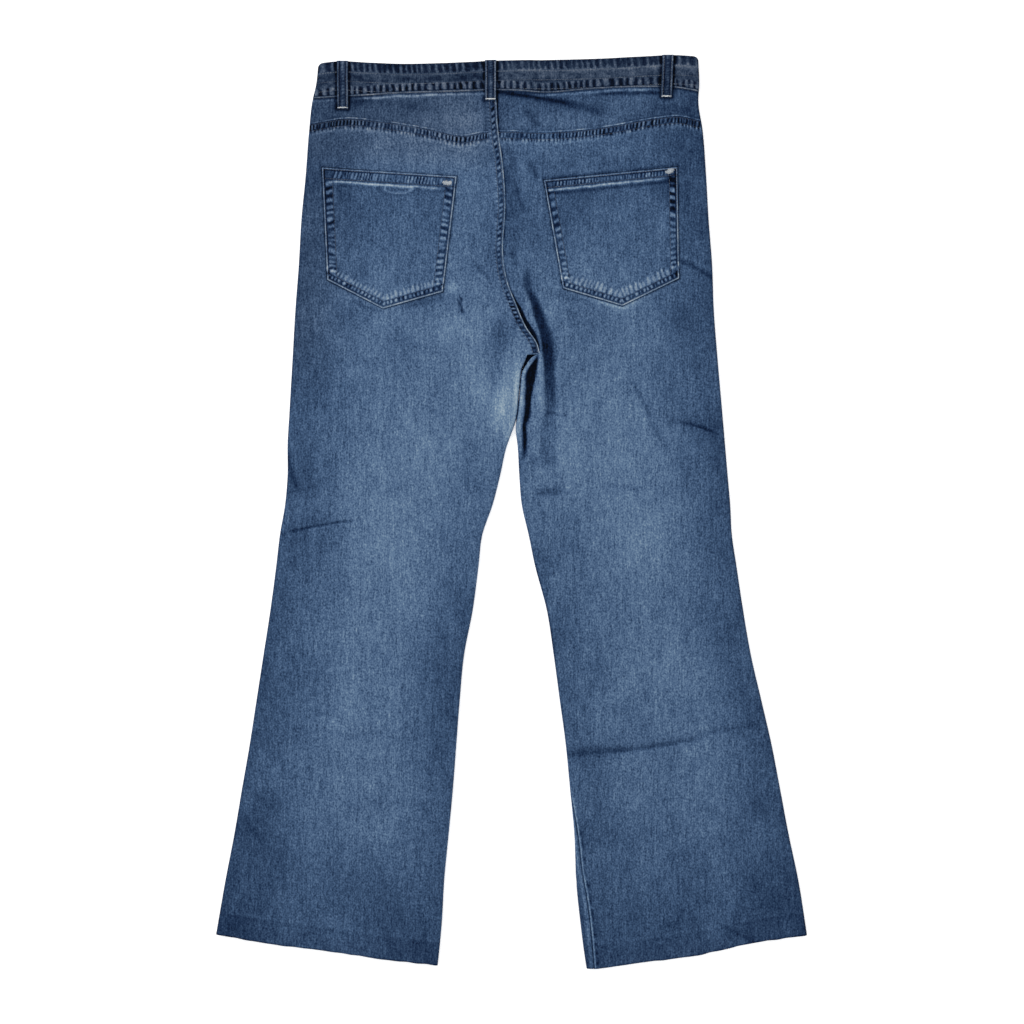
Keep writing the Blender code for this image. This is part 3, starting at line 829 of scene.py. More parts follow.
def seam_shade(x, y):
    """Painted shadow cast by the lap: the dark line along the right of the seat seam; past it the cloth is a
    little darker for 15 mm more.
    """
    past = x - centre_back(y) - 0.2
    line = (0.085 + 0.15 * ease(y, 430, 455)) * bell(past - 1.4, 1.3)
    line = line + 0.055 * bell(past, 15) * ease(y, 460, 400)
    line = line * (1 + 0.8 * chance(y, 7, 26))
    return -line * (past > 0) * ease(y, 182, 190)


def panel_tone(x, y):
    # The folds' shade is part wear and part painted shade and light; the crevices' shade is painted shade.
    shades = fold_sum(x, y, "shade") + crevice_sum(x, y, "shade")
    return np.maximum(wear(x, y) + outline_shade_and_wear(x, y) + seam_shade(x, y) + shades, 0)


print("tone at mid thigh:", np.round(panel_tone(np.array([-120.0]), np.array([50.0])), 3))

# %% [markdown]
# ## A panel as a wall of two grids
#
# A row of the grid is one section across the leg. Its path is measured round the rolled edge, which is a
# half circle, so the points keep their spacing where the cloth turns over: the level distance grows as
# 1 - cos of the turn and the height as its sine. A second grid, one cloth thickness inside, and a rim make
# the closed wall. Solidify could do this, but here the wall has to meet its neighbour inside the roll.


# %% Section grids
def always(y):
    return np.ones(np.shape(y))


def never(y):
    return np.zeros(np.shape(y))


def shares(steps, near_start=0.0, near_end=0.0, reach=0.12):
    """Shares from 0 to 1, in steps that shrink by near_start and near_end towards the two ends."""
    middle = (np.arange(steps) + 0.5) / steps
    size = 1 - near_start * bell(middle, reach) - near_end * bell(1 - middle, reach)
    return np.concatenate([[0], np.cumsum(size)]) / size.sum()


def stepped(*stretches):
    """Shares down a panel, from stretches of (height in mm, spacing in mm), the first only a start."""
    heights = [stretches[0]]
    for height, spacing in stretches[1:]:
        count = max(1, round((heights[-1] - height) / spacing))
        heights.extend(np.linspace(heights[-1], height, count + 1)[1:])
    heights = np.array(heights)
    return (heights[0] - heights) / (heights[0] - heights[-1])


def section(upper, lower, down, left, right, across, face, other, height, wall):
    """Outer and inner points of a panel, and each point's distance along its row.

    left and right are (edge, rolls, turn): the edge's x at a height, how fully the cloth rolls over there,
    and how far round the roll the seam lies. face is the height of the piece's own outer face, and other
    that of the opposite layer, which it shares where it has turned past the edge.
    """
    radius, quarter = height / 2, math.pi * height / 4
    ends = []
    for edge, rolls, turn in (left, right):
        y = np.full(down.shape, 0.0)
        for _ in range(8):
            x = edge(y)
            y = (1 - down) * upper(x) + down * lower(x)
        ends.append((x, rolls(y), turn(y)))
    (x_left, roll_left, turn_left), (x_right, roll_right, turn_right) = ends
    whole = x_right - x_left + (quarter - radius) * (roll_left + roll_right)
    start = roll_left * (turn_left + SEAM / 2)
    stop = whole - roll_right * (turn_right + SEAM / 2)
    path = start[:, None] + (stop - start)[:, None] * across

    def round_edge(distance, rolls):
        turn = np.clip(distance / quarter, -1, 1) * math.pi / 2
        level = radius * (1 - np.cos(turn)) + np.maximum(np.abs(distance) - quarter, 0)
        rolls = rolls[:, None]
        return distance + rolls * (level - distance), 1 + rolls * (np.sin(turn) - 1), rolls * np.cos(turn)

    level_left, sin_left, cos_left = round_edge(path, roll_left)
    level_right, sin_right, cos_right = round_edge(whole[:, None] - path, roll_right)
    on_left = path < whole[:, None] / 2
    x = np.where(on_left, x_left[:, None] + level_left, x_right[:, None] - level_right)
    y = (1 - down[:, None]) * upper(x) + down[:, None] * lower(x)
    sine = np.where(on_left, sin_left, sin_right)
    inward = np.where(on_left, cos_left, -cos_right)
    reach = np.where(sine >= 0, face(x, y), other(x, y)) - radius
    outer = np.stack([x, y, radius + reach * np.abs(sine)], axis=-1)
    into = -np.sign(np.median(face(x, y)) - radius) * sine
    return outer, outer + wall * np.stack([inward, 0 * x, into], axis=-1), x_left[:, None] + path


def grid_normals(points, up=True):
    """Unit normals of a grid whose rows run down and whose columns run to the right."""
    normal = np.cross(np.gradient(points, axis=0), np.gradient(points, axis=1))
    normal /= np.linalg.norm(normal, axis=-1, keepdims=True) + 1e-12
    return normal if up else -normal


# %% From two grids to a piece of cloth
def new_piece(name, points, faces, material):
    """A mesh object from points in mm and lists of their numbers, riding on the one body."""
    mesh = bpy.data.meshes.new(name)
    mesh.from_pydata((points * MM).tolist(), [], faces)
    mesh.shade_smooth()
    mesh.materials.append(material)
    piece = bpy.data.objects.new(name, mesh)
    bpy.context.scene.collection.objects.link(piece)
    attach(piece, "root")
    return piece


def mark(mesh, name, values):
    """Stores one number for each vertex, for the finish to read."""
    mesh.attributes.new(name, "FLOAT", "POINT").data.foreach_set("value", values.astype(np.float32).ravel())


INSIDE_TONE = 0.50


def cloth(
    name, outer, inner, tone, u, material=DENIM, slot="denim", nodes=(), up=True, inside=INSIDE_TONE
):
    """A closed wall between two grids: both faces and the rim round them, with its tone and cloth map."""
    rows, columns = outer.shape[:2]
    index = np.arange(rows * columns).reshape(rows, columns)
    quads = np.stack([index[:-1, :-1], index[1:, :-1], index[1:, 1:], index[:-1, 1:]], axis=-1)
    quads = quads.reshape(-1, 4)
    inside = np.broadcast_to(inside, outer.shape[:2])
    back = rows * columns
    border = np.concatenate([index[:, 0], index[-1, 1:], index[-2::-1, -1], index[0, -2:0:-1]])
    after = np.roll(border, -1)
    rim = np.stack([after, border, border + back, after + back], axis=-1)
    faces = np.concatenate([quads, quads[:, ::-1] + back, rim])
    if not up:
        faces = faces[:, ::-1]
    points = np.concatenate([outer.reshape(-1, 3), inner.reshape(-1, 3)])
    piece = new_piece(name, points, faces.tolist(), material)
    piece.data.set_sharp_from_angle(angle=math.radians(50))
    tone = np.broadcast_to(tone, outer.shape[:2])
    mark(piece.data, "tone", np.concatenate([tone.ravel(), inside.ravel()]))
    if slot == "denim":
        grey = greyness(outer[..., 0], outer[..., 1])
        if "lap" in name or "pocket" in name:
            grey = grey + 0.22 * ease(tone, 0.40, 0.55)
    else:
        grey = (0.72 if "loop" in name else 0.88) + 0 * tone
    mark(piece.data, "grey", np.tile(grey.ravel(), 2))
    places = np.stack([np.broadcast_to(u, tone.shape), outer[..., 1]], axis=-1).reshape(-1, 2) * MM
    corner_of = np.empty(len(piece.data.loops), np.int32)
    piece.data.loops.foreach_get("vertex_index", corner_of)
    cloth_map = piece.data.uv_layers.new(name="cloth")
    cloth_map.uv.foreach_set("vector", places[corner_of % back].astype(np.float32).ravel())
    if nodes:
        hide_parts(*nodes)
    edges = [outer[1:, 1:] - outer[:-1, :-1], outer[1:, :-1] - outer[:-1, 1:]]


# %% [markdown]
# ## Back panels
#
# Each back panel is one piece from the yoke to the hem. It rolls over at the outside leg and, below the
# crotch, at the inside leg. Above the crotch it ends under the lapped seat seam. The rows are closer in
# the seat and round the crotch, where the folds are. The raw hem has kept a faint line where it was once
# folded up.

# %% Back panels
HEM_LINE = 25.0  # height of the old fold above the cut edge
SEAT_LAP = 1.2


def below(height):
    """The cloth begins to roll over at this height, and does so fully 9 mm lower."""
    return lambda y: ease(y, height, height - 9)


def outer_side(which, turn=never):
    return (side[which], always, turn)


def back_inner(which):
    """The seat seam down to the crotch, and the inside of the leg below it."""
    tuck = -SEAT_LAP if which == "left" else -SEAT_LAP + 0.4

    def edge(y):
        return np.where(y > CROTCH, centre_back(y) + tuck, inside_leg[which](y))

    return (edge, below(CROTCH), inseam_turn if which == "right" else never)


def both_sides(which, inner):
    return (outer_side(which), inner) if which == "left" else (inner, outer_side(which))


def hem_tone(x, y):
    """The line of the old fold, the darker cloth that it hid, and the raw edge."""
    above = y - cut_line(x)
    line = -0.045 * bell(above - HEM_LINE, 1.7) + 0.02 * bell(above - HEM_LINE - 4, 2.5)
    return line - 0.012 * ease(above, HEM_LINE, HEM_LINE - 6) - 0.09 * ease(above, 2.6, 0.2)


def inseam_tone(turned, y):
    """The turned inseam: a dark line, the pale edge beside it, and puckers, by the distance from the seam."""
    puckers = np.maximum(np.cos(y / 1.9 + 2.2 * chance(y, 19, 38)), 0) * ease(y, -330, -400)
    line = -0.20 * bell(turned - 0.2, 0.8) + 0.27 * bell(turned - 1.9, 0.8)
    line = line - 0.22 * puckers * bell(turned - 4.4, 1.5)
    return line * ease(y, -318, -340)


POCKETS = {
    "pocket_left": table("x y", (-219.4, 399), (-64, 389), (-80, 256), (-149.1, 236.4), (-213.3, 269.5)),
    "pocket_right": table("x y", (37.9, 384.5), (192, 399.7), (194, 271.3), (128.6, 239.6), (60.1, 259.8)),
}
EDGES = ("top", "right", "low_right", "low_left", "left")


def edge_frames(name, x, y):
    """For each edge of the pocket: (distance inside it, distance along it, its length)."""
    corner = POCKETS[name]
    frames = {}
    for i, label in enumerate(EDGES):
        j = (i + 1) % len(EDGES)
        x0, y0 = corner["x"][i], corner["y"][i]
        long = math.hypot(corner["x"][j] - x0, corner["y"][j] - y0)
        ux, uy = (corner["x"][j] - x0) / long, (corner["y"][j] - y0) / long
        frames[label] = ((x - x0) * uy - (y - y0) * ux, (x - x0) * ux + (y - y0) * uy, long)
    return frames


def painted_pocket_shadow(x, y):
    """Painted shadow just outside the pockets, most over the right one, and a pale line outside the right
    one's tip.
    """
    total = 0.0
    for name in POCKETS:
        frames = edge_frames(name, x, y)
        border = np.minimum.reduce([frames[label][0] for label in EDGES])
        total = total + 0.12 * bell(border + 1.0, 0.8)
        if name == "pocket_right":
            tip = bell(x - 118, 32) * (y < 262)
            total = total - tip * (0.20 * bell(border + 3.0, 1.6) + 0.04 * bell(border + 6, 5))
            total = total + 0.10 * bell(frames["top"][0] + 1.5, 2.6) * (frames["top"][0] < border + 0.1)
    return -total


BACK_DOWN = stepped(
    *(440, (262, 3.4), (186, 1.25), (180, 0.6), (150, 1.2), (70, 1.8), (0, 3.6), (-38, 1.5), (-60, 3.6)),
    *((-246, 6), (-300, 2.2), (-488, 6), (-526, 2.2), (-530, 0.7)),
)
BACK_ACROSS = shares(100, 0.5, 0.75, 0.3)
for which in ("left", "right"):
    outer, inner, u = section(
        lambda x: yoke_seam(x) - 2.5,
        hem,
        BACK_DOWN,
        *both_sides(which, back_inner(which)),
        BACK_ACROSS if which == "left" else 1 - BACK_ACROSS[::-1],
        leg_top,
        lift,
        LEG_EDGE,
        WALL,
    )
    x, y = outer[..., 0], outer[..., 1]
    # The back panels carry the painted shadows beside the pockets.
    tone = panel_tone(x, y) + hem_tone(x, y) + painted_pocket_shadow(x, y)
    if which == "right":
        tone = tone + inseam_tone(u - u[:, :1], y)
    cloth(f"back_{which}", outer, inner, tone, u, nodes=[f"back_{which}"])

# %% [markdown]
# ## Yokes
#
# The yoke is the shaped strip under the waistband that gives the seat its curve instead of darts. It keeps
# more of its dark blue, because the band and belt hold it flat. Its top edge goes up inside the waistband
# and its lower edge under the fold of the back panel.


# %% Yokes
def loop_painted_shadow(x, y, deep):
    """Painted shadow beside each loop, most at its right, and under its foot."""
    total = 0.0
    for line in BACK_LOOPS.values():
        middle = np.interp(y, line["y"][::-1], line["x"][::-1])
        low, high = line["y"][::-1]
        aside = np.abs(x - middle) - LOOP_HALF
        total = total + np.where(x > middle, 1.0, 0.75) * bell(aside - 0.8, 1.8) * ease(y, low - 4, low)
        within = ease(np.abs(x - middle), LOOP_HALF + 2, LOOP_HALF - 2)
        total = total + 0.8 * bell(low - y - 0.5, 2.2) * within
    return -deep * total


def yoke_tone(x, y):
    """Dark, with a worn line 3 mm under the band; painted shade just under the band and just above the lap's
    edge; the loops' painted shadows.
    """
    under_band, over_lap = waist_bottom(x) - y, y - yoke_seam(x)
    rubbed = (0.26 + 0.12 * chance(x, 5, 33)) * (0.75 + 0.25 * bell(x + 115, 80))
    rubbed = rubbed * (band_of(x, -178, 165, 26) + 0.55 * band_of(x, -240, -207, 8))
    smear = rubbed * bell(under_band - 3.0 - 0.8 * chance(x, 9, 31), 1.2) * (1 - bell(x - 2, 22))
    pale = 0.060 * bell(x + 66, 50) * bell(y - 452, 18) + 0.065 * bell(x - 60, 60) * bell(y - 453, 13)
    dark = 0.055 + 0.05 * bell(x + 125, 40) * bell(y - 466, 14) + 0.02 * bell(x - 30, 40)
    dark = dark - 0.02 * ease(np.abs(x), 150, 200)
    # lines: painted shade under the band's edge, and a painted shadow just above the lap's folded edge
    lines = 0.12 * bell(under_band - 1.0, 0.9) + (0.04 + 0.05 * chance(x, 15, 34)) * bell(over_lap - 1.9, 0.8)
    beside_seat = 0.07 * bell(centre_back(y) - x - 13.5, 3) + 0.05 * bell(x + 14, 6) * bell(y - 460, 6)
    return panel_tone(x, y) + smear + pale - dark - lines - beside_seat + loop_painted_shadow(x, y, 0.19)


BACK_LOOPS = {
    "loop_back_left": table("x y", (-196, 523), (-195.8, 467.5)),
    "loop_back_centre": table("x y", (-24.2, 523.2), (-24.3, 477)),
    "loop_back_right": table("x y", (181.5, 530), (179.5, 481)),
}
for which in ("left", "right"):
    outer, inner, u = section(
        lambda x: waist_bottom(x) + 2.0,
        lambda x: yoke_seam(x) - 2.0,
        np.linspace(0, 1, 34),
        *both_sides(which, back_inner(which)),
        shares(150, 0.5, 0.5),
        leg_top,
        lift,
        LEG_EDGE,
        WALL,
    )
    tone = yoke_tone(outer[..., 0], outer[..., 1])
    cloth(f"yoke_{which}", outer, inner, tone, u, nodes=[f"yoke_{which}"])

# %% [markdown]
# ## Lapped seams and their roping
#
# The yoke and seat seams are flat-felled: one edge is folded over the other and two rows of stitches go
# through all of it. The layers shrink differently in the first wash, so the fold twists into a row of small
# diagonal puckers. Their tops rub pale and their hollows stay navy, and this roping is what makes a seam
# read as denim. Each lap is a narrow strip of its own with a grid fine enough for the puckers. A pucker's
# height is a cosine along the seam, flattened with tanh, and its spacing, lean and size wander.


# %% Puckers
def ribs(along, across, spacing, lean, seed, sharp=1.8, bias=0.0):
    """Ridges about a spacing apart that lean as they cross the seam, from -1 to 1, their ups and downs rough.

    A bias above 0 makes the ridges wider than the hollows, and one below 0 narrower.
    """
    wander = 0.38 * chance(along, 2.3 * spacing, seed) + 0.9 * chance(along, 11 * spacing, seed + 1)
    place = (along + lean * across) / spacing + wander
    rough = mottle(2.6 * place, across / 5.5, 1.0, seed + 2)
    size = 0.85 + 0.15 * chance(along, 1.9 * spacing, seed + 2)
    return size * np.tanh(sharp * (0.68 * np.cos(2 * math.pi * place) + 0.62 * rough + bias))


def lap_profile(inside, start, stop, rise):
    """Height of a lap over the cloth: round at its folded edge, level, and sinking past its second row."""
    return rise * ease(inside, start, start + 1.2) - 0.9 * ease(inside, start + 0.5, start - 0.2) - (
        rise + 0.2
    ) * ease(inside, stop, stop + 2.5)


YOKE_ROWS = (2.2, 9.2)


def yoke_lap_form(x, y):
    """Rise and tone of the yoke's lap, from the distance below its folded edge.

    Between its two rows lie fine squares. Below the second its shadow ends in teeth, and the cloth is rubbed.
    """
    inside = yoke_seam(x) - y
    uneven = 0.6 * chance(x, 23, 48) + 0.4 * chance(x, 8, 49)
    squares = ribs(x, inside, 4.2, 0.12, 41, 2.1, -0.1) * band_of(inside, 2.6, 7.8, 1.4)
    squares = squares * (1 + 0.35 * chance(x, 31, 44))
    teeth = ribs(x, 0 * x, 4.4, 0.0, 43, 1.8)
    shadow = band_of(inside, 0.7, 10.6 + 1.8 * teeth + 0.9 * chance(x, 13, 45), 1.3)
    rise = lap_profile(inside, -1.1, 10, 0.8) + 0.36 * ease(inside, 10, 12) - 0.3 * ease(inside, 16.2, 17.4)
    rise = rise + 0.20 * squares - 0.2 * bell(inside - 2.0, 0.8)
    edge = (0.05 + 0.16 * chance(x, 19.0, 46) + 0.14 * chance(x, 3.2, 47)) * bell(inside + 0.3, 0.75)
    halo = 0.065 * bell(inside - 12.6, 2.4) * np.maximum(1 + 0.7 * teeth + 0.9 * uneven, 0)
    halo = halo * (1 - 0.35 * ease(x, -10, 20))
    shade = edge + 0.25 * squares - shadow * (0.10 + 0.09 * uneven) - 0.06 * bell(inside - 8.4, 0.7) + halo
    shade = shade + (0.30 * teeth + 0.14 * mottle(x, inside, 3, 52) + 0.01) * bell(inside - 10.2, 1.9)
    shade = shade - 0.07 * bell(inside - 1.6, 0.6)
    # The last term is a painted shadow line along the top of the folded edge.
    return rise, shade - (0.07 + 0.06 * chance(x, 13, 50)) * bell(inside + 1.4, 0.6)


LAP_WALL = 0.8
lap_grids = {}
for which in ("left", "right"):
    outer, inner, u = section(
        lambda x: yoke_seam(x) + 1.3,
        lambda x: yoke_seam(x) - 17.5,
        shares(27, 0.55, 0.0, 0.3),
        *both_sides(which, back_inner(which)),
        shares(330),
        lambda x, y: leg_top(x, y) + yoke_lap_form(x, y)[0],
        lift,
        LEG_EDGE,
        LAP_WALL,
    )
    x, y = outer[..., 0], outer[..., 1]
    lap_grids[which] = outer
    tone = panel_tone(x, y) + yoke_lap_form(x, y)[1]
    cloth(f"yoke_lap_{which}", outer, inner, tone, u)

# %% The seat seam's lap
SEAT_ROWS = (2.3, 8.2)


def seat_lap_form(x, y):
    """Rise and tone of the seat seam's lap, from the distance left of its folded edge."""
    inside = centre_back(y) + 0.9 - x
    low, in_yoke = ease(y, 262, 240), ease(y, 446, 452)
    ladder = ribs(y, inside, 6.6, 0.6, 51, 1.7, -0.1) * (1 - low)
    ladder = ladder + ribs(y, inside, 4.4, 0.1, 55, 1.9, -0.1) * low
    ladder = (0.8 * ladder + 0.35 * mottle(y, inside, 2.2, 59)) * (0.9 + 0.45 * chance(y, 27, 58))
    within = band_of(inside, 3.0, 6.7 + 1.2 * low, 1.3)
    small = ribs(y, inside, 4.1, -0.2, 54) * bell(inside - 9.6, 1.5)
    groove = bell(inside - 2.3, 0.9) + 0.5 * bell(inside - 7.4, 0.8)
    rise = lap_profile(inside, -0.3, 9.2, 0.9) + 0.24 * ladder * within + 0.12 * small - 0.2 * groove
    edge = (0.30 + 0.06 * in_yoke + 0.14 * chance(y, 6, 57)) * bell(inside - 0.5 - 0.35 * in_yoke, 0.52)
    shade = edge - 0.15 * groove + within * (0.27 * ladder - 0.05) + 0.12 * small
    shade = shade - 0.10 * low * band_of(inside, 1.4, 8.6) - 0.05 * low * bell(inside - 9.2, 0.8)
    # The last term is a painted shadow just right of the folded edge.
    return rise, shade - 0.12 * ease(inside, 0.2, -0.3)


SEAT_TOP, SEAT_END = 489.0, 184.5
y = np.linspace(SEAT_TOP, SEAT_END, 430)[:, None]
x = centre_back(y) + 0.9 + 0.25 - (1 - shares(24, 0.0, 0.6, 0.4)[None, :]) * 13.5
y = y + 0 * x
form_rise, form_shade = seat_lap_form(x, y)
over_yoke_lap = 0.8 * ease(np.abs(yoke_seam(x) - y - 5), 9, 5)
z = leg_top(np.minimum(x, centre_back(y)), y) + over_yoke_lap + form_rise
seat_lap_grid = np.stack([x, y, z], axis=-1)
inner = seat_lap_grid - np.array([0, 0, LAP_WALL])
under = np.minimum(x, centre_back(y) - 0.5)
tone = np.where(y > yoke_seam(x), yoke_tone(under, y) - 0.02, panel_tone(under, y)) + form_shade
cloth("seat_seam_lap", seat_lap_grid, inner, tone, x)

# %% [markdown]
# ## Patch pockets
#
# A pocket is a five-cornered patch: its sides and the two lower edges are turned under by 12 mm and sewn
# down twice, and its mouth is turned in and sewn once before it goes on. So its borders are thicker than
# its middle and rub paler. Every point of the patch knows its distance from each edge, and how far along
# that edge it is, and its height and tone are sums over them.

# %% Pocket form
# Each pocket: its tone against the seat's, the width of its side borders, its mouth's depth, its chance.
POCKET_LOOK = {"pocket_left": (-0.020, 11.0, 15.0, 60), "pocket_right": (0.0, 9.2, 11.8, 260)}
SIDE_ROW, LOW_INNER_ROW = 0.9, 7.4


def pocket_form(name, x, y):
    """Rise over the seat and tone, from the distances to the five edges."""
    frames = edge_frames(name, x, y)
    shift, border_wide, mouth, seed = POCKET_LOOK[name]
    border = np.minimum.reduce([frames[label][0] for label in EDGES])
    low = np.minimum(frames["low_right"][0], frames["low_left"][0])
    under_mouth = ease(frames["top"][0], mouth - 3, mouth)
    rise = (OVER + WALL) * ease(border, -1.3, 0.3) - 0.25 * bell(border - 2.5, 0.8)
    # The turned-under rim outside the border is darker: painted shadow, and partly unworn cloth in the
    # crease.
    tone = wear(x, y) + shift - 0.26 * ease(border, -0.3, -0.9)
    if name == "pocket_right":
        tone = tone - 0.055 * ease(frames["top"][0], 60, 10)
    crisp = (0.27 + 0.17 * mottle(x, y, 6, seed)) * (1 - 0.4 * (frames["top"][0] < border + 0.1))
    tone = tone + crisp * bell(border - 0.35, 0.55) - 0.20 * bell(border - 2.1, 0.9)
    for label in ("right", "left"):
        inside, along, long = frames[label]
        within = band_of(inside, 2.9, border_wide - 0.3, 1.2) * ease(low, 6, 9) * under_mouth
        down = along if label == "right" else long - along
        smaller = ease(down, 55, 100)
        blots = ribs(down, inside, 9.0, 0.2, seed, 2.0, -0.05) * (1 - smaller)
        blots = blots + ribs(down, inside, 6.4, -0.2, seed + 3, 2.0, -0.05) * smaller
        blots = blots * (0.85 + 0.4 * chance(down, 21, seed + 6))
        tone = tone + within * (0.27 * blots - 0.005)
        tone = tone - 0.10 * bell(inside - border_wide, 0.7) * ease(low, 6, 9)
        rubbed = np.maximum(chance(down, 5, seed + 5), -0.2)
        tone = tone + 0.09 * bell(inside - border_wide - 2.2, 1.8) * rubbed
        rise = rise + 0.35 * ease(inside, border_wide + 1, border_wide - 0.8) + 0.22 * blots * within
        seed += 10
    for label in ("low_right", "low_left"):
        inside, along, _ = frames[label]
        nearest = ease(frames["low_left" if label == "low_right" else "low_right"][0] - inside, -0.6, 0.6)
        far = 16.5 if name == "pocket_left" else 19.0
        squares = ribs(along, inside, 5.2, 0.1, seed, 2.2, -0.1) * band_of(inside, 2.9, 6.6)
        fingers = ribs(along, inside, 5.2, 0.12, seed + 3, 2.0, 0.3 - 0.9 * ease(inside, far - 6, far))
        fingers = fingers * band_of(inside, 8.4, far, 1.6)
        worn = 0.05 * band_of(inside, 8.4, far, 3) + 0.05 * bell(inside - far + 2, 2)
        shade = 0.26 * squares - 0.03 * band_of(inside, 3, 7.0) + 0.17 * fingers + worn
        shade = shade - 0.17 * bell(inside - 7.2, 0.9)
        tone = tone + nearest * shade
        rise = rise + nearest * (0.35 * ease(inside, 8.4, 6.8) + 0.2 * squares + 0.1 * fingers)
        seed += 10
    inside, along, long = frames["top"]
    bars = ribs(along, inside, 3.7, 0.2, seed, 2.0) * band_of(inside, 2.9, mouth - 4.2)
    bars = bars * (0.8 + 0.5 * chance(along, 17, seed + 7)) * band_of(along, 12, long - 14, 6)
    to_left = ease(along / long, 1.0, 0.5)
    line = mouth + 0.6 * chance(along, 11, seed + 4)
    worn = bell(inside - line, 1.15) * (0.45 + 0.55 * to_left) * (0.85 + 0.25 * chance(along, 3, seed + 5))
    glow = 0.12 * bell(inside - line - 1.6, 2.0) * band_of(along / long, 0.1, 0.62, 0.2)
    worn = (worn + glow) * ease(along, 2, 12 if name == "pocket_left" else 6) * ease(long - along, 8, 16)
    # under: painted shade below the step of the mouth's turned edge
    under = 0.05 if name == "pocket_left" else 0.13
    rise = rise + 0.6 * ease(inside, mouth - 0.5, mouth - 3.5) + 0.16 * bars + 0.12 * worn
    tone = tone + 0.27 * bars - 0.02 * band_of(inside, 3, mouth - 3) - 0.13 * bell(inside - mouth + 2.8, 1.1)
    tone = tone + 0.40 * worn - under * bell(inside - mouth - 3.8, 2.2)
    return rise, np.maximum(tone, 0)


def pocket_surface(name):
    return lambda x, y: leg_top(x, y) + pocket_form(name, x, y)[0]


# %% Pockets
def inset_corners(name, distance):
    """Corners of the pocket's outline moved in by a distance for each edge, in the order of EDGES."""
    corner = POCKETS[name]
    points = np.stack([corner["x"], corner["y"]], axis=-1)
    ahead = np.roll(points, -1, axis=0) - points
    ahead /= np.linalg.norm(ahead, axis=1, keepdims=True)
    inward = np.stack([ahead[:, 1], -ahead[:, 0]], axis=-1)
    offset = (points * inward).sum(axis=1) + np.array([distance[label] for label in EDGES])
    return np.array(
        [np.linalg.solve(np.stack([inward[i - 1], inward[i]]), [offset[i - 1], offset[i]]) for i in range(5)]
    )


# Bar tack of each pocket: its middle, its turn.
TACKS = {"pocket_left": ((-74.8, 381.8), -0.15), "pocket_right": ((183.4, 395.4), 0.35)}
TURN_UNDER = 1.3  # the rounded edge of a patch lies this far outside its top
for name in POCKETS:
    top_left, top_right, low_right, tip, low_left = inset_corners(name, dict.fromkeys(EDGES, -TURN_UNDER))
    share = shares(164, 0.72, 0.72, 0.16)[None, :, None]
    down = shares(156, 0.72, 0.72, 0.16)[:, None, None]
    first, second = np.clip(share * 2, 0, 1), np.clip(share * 2 - 1, 0, 1)
    low = low_left + (tip - low_left) * first + (low_right - tip) * second
    flat = (1 - down) * (top_left + (top_right - top_left) * share) + down * low
    x, y = flat[..., 0], flat[..., 1]
    rise, tone = pocket_form(name, x, y)
    if name == "pocket_left":
        arc = np.hypot((x + 131.5) / 16.5, (y - 376) / 6.4)
        tone = tone + (0.16 * bell(arc - 1, 0.14) - 0.06 * bell(arc - 1.35, 0.2)) * (y < 377)
    x_tack, y_tack = TACKS[name][0]
    tone = np.maximum(tone - 0.10 * np.exp(-(((x - x_tack) / 6.5) ** 2) - ((y - y_tack + 9.5) / 4.5) ** 2), 0)
    outer = np.stack([x, y, leg_top(x, y) + rise], axis=-1)
    inner = outer - np.array([0, 0, 1.0])
    cloth(name, outer, inner, tone, x, nodes=[name])

# %% [markdown]
# ## Waistband
#
# The band is one long straight strip folded in two, sewn along its lower edge and again along the top. It
# is the least washed part, so it is greyer and darker, and its two outer thirds are roped into ribs about
# 8 mm apart, as its rows of stitches shrank. The ribs of the lower third are the deeper ones.

# %% Waistband
BAND_TONE = 0.215
BAND_ROWS = (12.6, 12.2, 1.8)  # below the top edge, above the lower edge, and along the lower edge
CORNER = 7.0  # how round the band's upper corners have become


def band_upper(x):
    """The top of the band, rounded down at both sides."""
    near = np.clip(1 - np.minimum(x - side["left"](510.0), side["right"](510.0) - x) / CORNER, 0, 1)
    return waist_top(x) - CORNER * (1 - np.sqrt(1 - near**2))


def band_form(x, from_top, from_low):
    """Rise and tone of the band, from the distances to its two edges."""
    top = ribs(x, from_top, 7.6, -0.14, 101, 2.0, -0.45 + 0.4 * ease(from_top, 7, 12))
    top = top * band_of(from_top, 1.2, 11, 2)
    low = ribs(x, from_low, 7.7, 0.05, 104, 2.2, 0.05) * band_of(from_low, 2.6, 11.2, 1.6)
    middle = mottle(x, 2.0 * from_top, 7, 107) * ease(from_top, 12, 15) * ease(from_low, 11, 14)
    edge = ease(from_top, 1.8, 0.0) + ease(from_low, 1.0, -0.2)
    to_right = ease(x, -40, 20)
    pale = bell(from_top - BAND_ROWS[0] - 0.8 * chance(x, 19, 111), 1.6) * (0.75 + 0.4 * chance(x, 15, 112))
    low_pale = (1 - 0.7 * to_right) * bell(from_low - BAND_ROWS[1] + 0.6 - 0.6 * chance(x, 17, 113), 1.4)
    pale = pale + low_pale * (0.6 + 0.5 * chance(x, 21, 114))
    seam = bell(from_low - 1.0, 0.6) * (0.85 + 0.3 * chance(x, 9, 115)) - 0.4 * bell(from_low - 2.6, 0.7)
    rise = 0.30 * top + 0.42 * low + 0.12 * middle - 0.9 * edge + 0.12 * pale
    tone = BAND_TONE + 0.16 * top + 0.23 * low + 0.08 * middle - 0.10 * edge
    tone = tone - 0.03 * (1 - to_right) * band_of(from_top, 14, 23, 2)
    tone = tone + (0.08 + 0.07 * to_right) * pale + 0.36 * seam
    tone = tone + (0.01 + 0.05 * to_right) * band_of(from_top, 3, 22, 3) + 0.02 * mottle(x, from_top, 30, 108)
    return rise, np.maximum(tone, 0)


def back_band_top(x, y):
    return band_top(x, y) + band_form(x, waist_top(x) - y, y - waist_bottom(x))[0]


